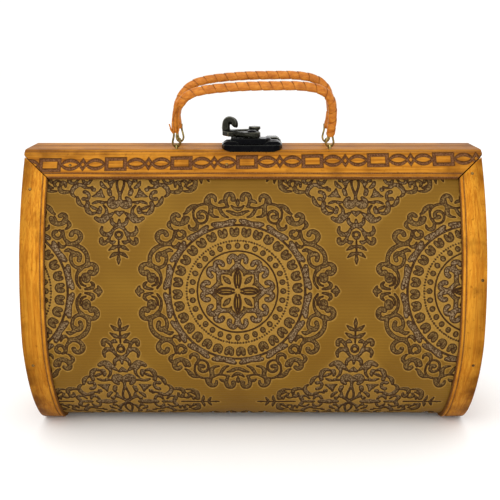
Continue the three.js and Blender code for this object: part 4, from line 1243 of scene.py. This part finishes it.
# One turn of the strip: its height off the core at shares of the pitch, with the lap's edge at the start
TURN_SHAPE = [
    {"share": 0.0, "height": -0.45, "seam": 1.0}, {"share": 0.03, "height": -0.04, "seam": 0.25},
    {"share": 0.09, "height": 0.0, "seam": 0.0}, {"share": 0.22, "height": 0.0, "seam": 0.0},
    {"share": 0.38, "height": -0.02, "seam": 0.0}, {"share": 0.54, "height": -0.07, "seam": 0.0},
    {"share": 0.7, "height": -0.13, "seam": 0.0}, {"share": 0.85, "height": -0.2, "seam": 0.0},
    {"share": 0.95, "height": -0.3, "seam": 0.1}, {"share": 0.985, "height": -0.42, "seam": 0.7},
]

# Loose ends of the worn strip at the front handle's left foot, with the flap that covers the last turn
LOOSE_ENDS = [
    {"radius": 1.5, "path": [(-51.8, -1.9, 37), (-52.7, -2.2, 32.5), (-53.6, -2.0, 28.4)]},
    {"radius": 0.5, "path": [(-56.2, -1.4, 12.8), (-57.2, -1.7, 16.4), (-57.9, -1.6, 19.4)]},
    {"radius": 0.55, "path": [(-55.6, -2.2, 12.6), (-56.8, -2.5, 15.0), (-57.3, -2.4, 16.6)]},
    {"radius": 0.45, "path": [(-52.4, -2.2, 12.2), (-51.8, -2.4, 15.0), (-51.6, -2.2, 17.0)]},
]


def handle_place(half, side):
    """Moves a shape drawn at the eye of the left and right rings to where that handle stands."""
    lean = Matrix.Rotation(math.radians(-side * HANDLE_LEANS[half]), 4, "X")
    return Matrix.Translation(Vector((0, side * HANDLE_FROM_PARTING, EYE_HEIGHT)) * MM) @ lean


def bulge(up):
    """Not quite half at the foot of a leg, one halfway up, none at the crown."""
    return math.sin(math.pi * (0.14 + 0.86 * (up - LEG_FOOT) / (1 - LEG_FOOT)))


def make_handle(half, side):
    bow = BACK_BOW if half == "back" else 0
    route = curve_through([(row["across"] * (HANDLE_HALF_SPAN + bow * bulge(row["up"])), 0,
                            row["up"] * HANDLE_RISE) for row in HANDLE_ROUTE], 24)
    total = carried_frames(route)[0][-1]
    turns = int(total / STRIP_PITCH) + 2
    per_turn = len(TURN_SHAPE)
    piece, column, row = unit_grid(f"{half}_wrapped_handle", turns * per_turn, HANDLE_SIDES)
    share = np.array([part["share"] for part in TURN_SHAPE])[column % per_turn]
    height = np.array([part["height"] for part in TURN_SHAPE])[column % per_turn]
    seam = np.array([part["seam"] for part in TURN_SHAPE])[column % per_turn]
    slant = row / HANDLE_SIDES
    place = (column // per_turn + share - 1 + slant) * STRIP_PITCH
    wander = 0.35 * np.sin(2.1 * (column // per_turn) + 1.3) * np.sin(np.pi * slant) ** 2
    frays = half == "front"
    start = FRAYED["start"] if frays else 0
    along = np.clip(place + wander, start, total)
    ends = smooth_step(start, start + 1.2, along) * smooth_step(total, total - 1.2, along)
    frayed = frays * smooth_step(FRAYED["end"] + 0.4, FRAYED["end"] - 0.4, along)
    lengthwise = np.cos(FRAYED["strips"] * 2 * np.pi * slant + 0.25 * along)
    height = height * (1 - frayed) + frayed * (0.32 * lengthwise - 0.6)
    seam = seam * (1 - frayed) + frayed * 1.2 * smooth_step(-0.4, -0.95, lengthwise)
    radius = HANDLE_RADIUS * (0.86 + 0.14 * ends) + height
    spots = place_on_tube(route, along, 2 * np.pi * slant, radius)
    set_points(piece, *spots.T)
    middle = place_on_tube(route, along, 2 * np.pi * slant, 0 * radius)
    outward = middle - (0, 0, HANDLE_RISE * 0.3)
    size = np.linalg.norm(outward, axis=1) * np.maximum(radius, 0.1)
    facing = ((spots - middle) * outward).sum(1) / size
    set_attribute(piece, "seam", seam * (0.45 + 0.55 * smooth_step(0.3, 0.8, facing)))
    in_edit(piece, merge(2e-6), fill_all, outwards)
    if frays:
        slivers = [tube("sliver", curve_through(end["path"], 6), end["radius"], 10, 14)
                   for end in LOOSE_ENDS]
        pick(*slivers, piece)
        bpy.ops.object.join()
    piece.data.transform(handle_place(half, side))
    return finish(piece, f"{half}_grip_loop", wrap, [f"{half}_handle"], math.radians(50))


for row_of_half in HALVES:
    make_handle(**row_of_half)

# %% Rings and staples
RING_HEIGHT = 9.5
RING_HALF_WIDTH = 2.6
RING_NECK = 1.45
RING_TAIL = 3.6
STAPLE_BITE = 6
RING_BOW = [
    {"across": 0, "up": 0},
    {"across": 0.62, "up": 0.074},
    {"across": 1, "up": 0.37},
]


def ring_route(x):
    right = [(row["across"] * RING_HALF_WIDTH, row["up"] * RING_HEIGHT) for row in RING_BOW]
    right += [(RING_NECK, RING_HEIGHT - GAP), (RING_NECK, RING_HEIGHT + RING_TAIL)]
    left = [(-across, up) for across, up in reversed(right[1:])]
    return curve_through([(x + across, 0, up) for across, up in left + right], 12)


def staple_route(x, side):
    radius = 2 * WIRE_RADIUS + GAP
    y = side * HANDLE_FROM_PARTING
    foot = BAG_HEIGHT - STAPLE_BITE
    crown = [(x, y - radius * math.cos(angle), EYE_HEIGHT + radius * math.sin(angle))
             for angle in np.linspace(0, math.pi, 9)]
    return curve_through([(x, y - radius, foot), (x, y - radius, EYE_HEIGHT - 2), *crown,
                          (x, y + radius, EYE_HEIGHT - 2), (x, y + radius, foot)], 5)


for row_of_half in HALVES:
    half, side = row_of_half["half"], row_of_half["side"]
    for row_of_end in ENDS:
        end, x = row_of_end["end"], row_of_end["sign"] * HANDLE_HALF_SPAN
        ring = tube(f"{half}_wire_ring_{end}", ring_route(x), WIRE_RADIUS, 14, 60)
        ring.data.transform(handle_place(half, side))
        finish(ring, f"{half}_grip_loop", ring_brass, [f"{half}_handle_ring_{end}"])
        loop = tube(f"{half}_wire_staple_{end}", staple_route(x, side), WIRE_RADIUS, 12, 48)
        finish(loop, f"{half}_half", ring_brass, [f"{half}_staple_{end}"])

# %% [markdown]
# The clasp
# The clasp is four castings: a plate on each rail, a hook that turns on a rivet, and the rivet. A casting
# has no sharp edges, because the metal flows into sand or a die and is tumbled afterwards. So a copy of the
# frame's plain solid is joined with the raised parts that were too fine for it, melted into one skin by a
# voxel remesh, and smoothed.

# %% Castings
CAST_GRAIN = 0.28
PIVOT = (-0.8, -9.0)
KNOB = {"x": 1.1, "y": 6.6, "top": 219.4, "height": 2.3, "radius": 3.9, "rim": 0.45,
        "head": 4.35, "cut_below_top": 1.2}


def copy_of(node, name):
    """A copy of a frame node in the shared frame, with its loose triangles merged."""
    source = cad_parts[node]
    mesh = source.data.copy()
    mesh.transform(source.matrix_world)
    mesh.name = name
    mesh.materials.clear()
    piece = bpy.data.objects.new(name, mesh)
    bpy.context.scene.collection.objects.link(piece)
    in_edit(piece, merge(1e-6))
    return piece


def ball(x, y, z, size_x, size_y, size_z):
    """A rounded lump, from an ico sphere."""
    bpy.ops.object.select_all(action="DESELECT")
    bpy.ops.mesh.primitive_ico_sphere_add(subdivisions=4, radius=1, location=(x * MM, y * MM, z * MM))
    piece = bpy.context.object
    piece.scale = (size_x * MM, size_y * MM, size_z * MM)
    bpy.ops.object.transform_apply(location=True, rotation=True, scale=True)
    return piece


def rim(x, y, z, radius, thickness):
    """A round rim, from a torus."""
    bpy.ops.object.select_all(action="DESELECT")
    bpy.ops.mesh.primitive_torus_add(location=(x * MM, y * MM, z * MM), major_segments=64, minor_segments=16,
                                     major_radius=radius * MM, minor_radius=thickness * MM)
    return bpy.context.object


def cast_piece(name, body, node, raised=(), sunk=(), grain=CAST_GRAIN, rounds=6,
               metal=black_cast, top=None):
    """Joins raised parts to a copy of the node, remeshes them into one skin, cuts the sunk parts, smooths."""
    piece = copy_of(node, name)
    if top:
        in_edit(piece, all_selected, lambda: bpy.ops.mesh.bisect(
            plane_co=(0, 0, top * MM), plane_no=(0, 0, 1), use_fill=True, clear_outer=True))
    if raised:
        pick(*raised, piece)
        bpy.ops.object.join()
    apply_modifier(piece, "REMESH", mode="VOXEL", voxel_size=grain * MM, adaptivity=0.0)
    for cutter in sunk:
        apply_modifier(piece, "BOOLEAN", object=cutter, operation="DIFFERENCE", solver="EXACT")
        bpy.data.objects.remove(cutter)
    if sunk:
        apply_modifier(piece, "REMESH", mode="VOXEL", voxel_size=grain * MM, adaptivity=0.0)
    apply_modifier(piece, "SMOOTH", factor=0.5, iterations=rounds)
    piece.name = name
    piece.data.name = name
    return finish(piece, body, metal, [node], math.radians(60))


# %% The four castings
HOOK_RIDGES = [
    {"radii": (1.8, 2.1, 1.7), "path": [(-20.2, 2.6, 216.1), (-17.2, -3.2, 215.8), (-11.0, -9.2, 215.5),
                                        (-3.6, -13.4, 215.3), (2.4, -13.2, 215.3)]},
    {"radii": (1.2, 1.0, 0.7), "path": [(-18.0, 2.6, 216.6), (-14.2, -2.6, 216.7), (-9.0, -6.6, 216.6),
                                        (-5.2, -8.4, 216.5)]},
    {"radii": (1.0, 0.9, 0.6), "path": [(-18.2, 6.4, 216.2), (-12.6, 9.4, 216.2), (-6.0, 11.4, 216.0),
                                        (0.0, 12.2, 215.8)]},
]
CURL = {"x": -16.4, "y": 3.2, "z": 221.0, "radius": 3.1, "turn": 218, "radii": (3.2, 2.9, 2.6)}
BOSS_RIM = {"radius": 5.2, "thickness": 0.75, "z": 216.6}


def tapered(name, path, radii):
    """A tube that swells and thins along a soft path, with rounded ends."""
    def radius(share):
        plain = np.interp(share, [0, 0.5, 1], radii)
        rounded = smooth_step(0, 0.06, share) * smooth_step(1, 0.94, share)
        return plain * np.sqrt(np.clip(1 - (1 - rounded) ** 2, 0.02, 1))
    return tube(name, curve_through(path, 8), radius, 16, 40)


def curl_path():
    neck = [(CURL["x"] - CURL["radius"] + 0.9, CURL["y"], CURL["z"] - 6.4),
            (CURL["x"] - CURL["radius"] - 0.1, CURL["y"], CURL["z"] - 3)]
    round_part = [(CURL["x"] - CURL["radius"] * math.cos(angle), CURL["y"],
                   CURL["z"] + CURL["radius"] * math.sin(angle))
                  for angle in np.radians(np.linspace(0, CURL["turn"], 8))]
    return neck + round_part


ridges = [tapered("ridge", row["path"], row["radii"]) for row in HOOK_RIDGES]
ridges.append(tapered("goose_neck", curl_path(), CURL["radii"]))
boss_rim = rim(*PIVOT, BOSS_RIM["z"], BOSS_RIM["radius"], BOSS_RIM["thickness"])
cast_piece("cast_hook", "hook", "clasp_hook", [*ridges, boss_rim], rounds=26, metal=rubbed_and_highlit_cast)

dish = ball(*PIVOT, 219.2, 2.5, 2.5, 1.3)
cast_piece("cast_rivet", "front_half", "clasp_rivet", (), [dish], 0.2, 4)

plate_lumps = [ball(14.0, -12.0, 210.6, 4.6, 3.2, 1.6), ball(-16.2, -12.0, 210.6, 4.6, 3.2, 1.6),
               ball(10.6, -9.6, 211.0, 2.6, 5.2, 2.6)]
cast_piece("cast_front_plate", "front_half", "clasp_front_plate", plate_lumps)

knob_rim = rim(KNOB["x"], KNOB["y"], KNOB["top"] - KNOB["rim"], KNOB["radius"], KNOB["rim"])
bpy.ops.object.select_all(action="DESELECT")
knob_middle = Vector((KNOB["x"], KNOB["y"], KNOB["top"] - KNOB["height"] / 2)) * MM
bpy.ops.mesh.primitive_cylinder_add(radius=KNOB["head"] * MM, depth=KNOB["height"] * MM, vertices=64,
                                    location=knob_middle)
knob_head = bpy.context.object
cast_piece("cast_back_plate", "back_half", "clasp_back_plate", [knob_rim, knob_head], metal=rubbed_and_highlit_cast,
           top=KNOB["top"] - KNOB["cut_below_top"])

# %% [markdown]
# Hinges and nails
# The base hinges keep the frame's own shape and only get their brass. Small dark nails hold the rails and
# the end boards; each is a domed head, pressed just into the wood.

# %% Hinges
for node_name, node_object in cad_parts.items():
    if "hinge" in node_name:
        for material_slot in node_object.material_slots:
            material_slot.link = "OBJECT"
            material_slot.material = hinge_brass

# %% Nails
NAIL_RADIUS = 1.1
NAIL_DOME = 0.35
STRIP_NAILS = [
    {"x": -154, "height": 181}, {"x": 152, "height": 191}, {"x": 156.5, "height": 122},
    {"x": -154, "height": 60}, {"x": 154, "height": 60},
]
RAIL_NAILS = [
    {"x": -127.4, "down": 7.2},
    {"x": -18.4, "down": 6.5},
]


def nail(x, side, depth, height, out):
    """A domed nail head on a surface that faces out."""
    head = ball(0, 0, 0, NAIL_RADIUS, NAIL_RADIUS, NAIL_DOME)
    turn = Vector((0, side * out[0], out[1])).to_track_quat("Z", "Y").to_matrix().to_4x4()
    head.data.transform(Matrix.Translation(Vector((x, side * depth, height)) * MM) @ turn)
    return head


def make_nails(half, side):
    heads = []
    for row in STRIP_NAILS:
        spot = int(np.argmin(np.abs(PROFILE[:, 1] - row["height"])))
        depth, height, out, up = PROFILE[spot]
        heads.append(nail(row["x"], side, depth - 0.25 * out, height - 0.25 * up, (out, up)))
    for row in RAIL_NAILS:
        depth, height = SHOULDER + FACE_DOWN * row["down"]
        heads.append(nail(row["x"], side, depth, height, FACE_OUT))
    pick(*heads)
    bpy.ops.object.join()
    return finish(named(f"{half}_nail_heads"), f"{half}_half", nail_metal)


for row_of_half in HALVES:
    make_nails(**row_of_half)

# %% [markdown]
# Floor and light
# The photo is a bag on a white table under broad soft light from above and in front. A large pale floor
# with a white world gives the white ground and the faint shadow, and four wide area lamps give the soft
# highlights.

# %% Stage
def pale_floor():
    material, tree, surface = new_material("pale_floor", **{"Roughness": 0.9, "Specular IOR Level": 0.2})
    surface.inputs["Base Color"].default_value = linear("#F7F6F4")
    return material


bpy.ops.object.select_all(action="DESELECT")
bpy.ops.mesh.primitive_plane_add(size=12, location=(0, 0, 0))
floor = named("studio_floor")
floor.data.materials.append(pale_floor())

world = bpy.data.worlds.new("white_room")
world.use_nodes = True
world.node_tree.nodes["Background"].inputs["Color"].default_value = (1, 1, 1, 1)
world.node_tree.nodes["Background"].inputs["Strength"].default_value = 1.1
bpy.context.scene.world = world

LAMPS = [
    {"name": "key_lamp", "place": (-0.9, -1.5, 1.9), "size": 1.4, "power": 18},
    {"name": "fill_lamp", "place": (0.4, -2.1, 0.3), "size": 1.8, "power": 11},
    {"name": "top_lamp", "place": (0.1, -0.3, 2.0), "size": 1.6, "power": 6},
    {"name": "back_lamp", "place": (0.6, 1.8, 1.5), "size": 1.6, "power": 2},
]
LAMP_AIM = Vector((0, 0, 0.1))
for lamp in LAMPS:
    light = bpy.data.lights.new(lamp["name"], "AREA")
    light.size = lamp["size"]
    light.energy = lamp["power"]
    holder = bpy.data.objects.new(lamp["name"], light)
    holder.location = lamp["place"]
    holder.rotation_euler = (LAMP_AIM - holder.location).to_track_quat("-Z", "Y").to_euler()
    bpy.context.scene.collection.objects.link(holder)
bpy.context.scene.view_settings.view_transform = "Standard"
print("lamps:", [lamp["name"] for lamp in LAMPS])
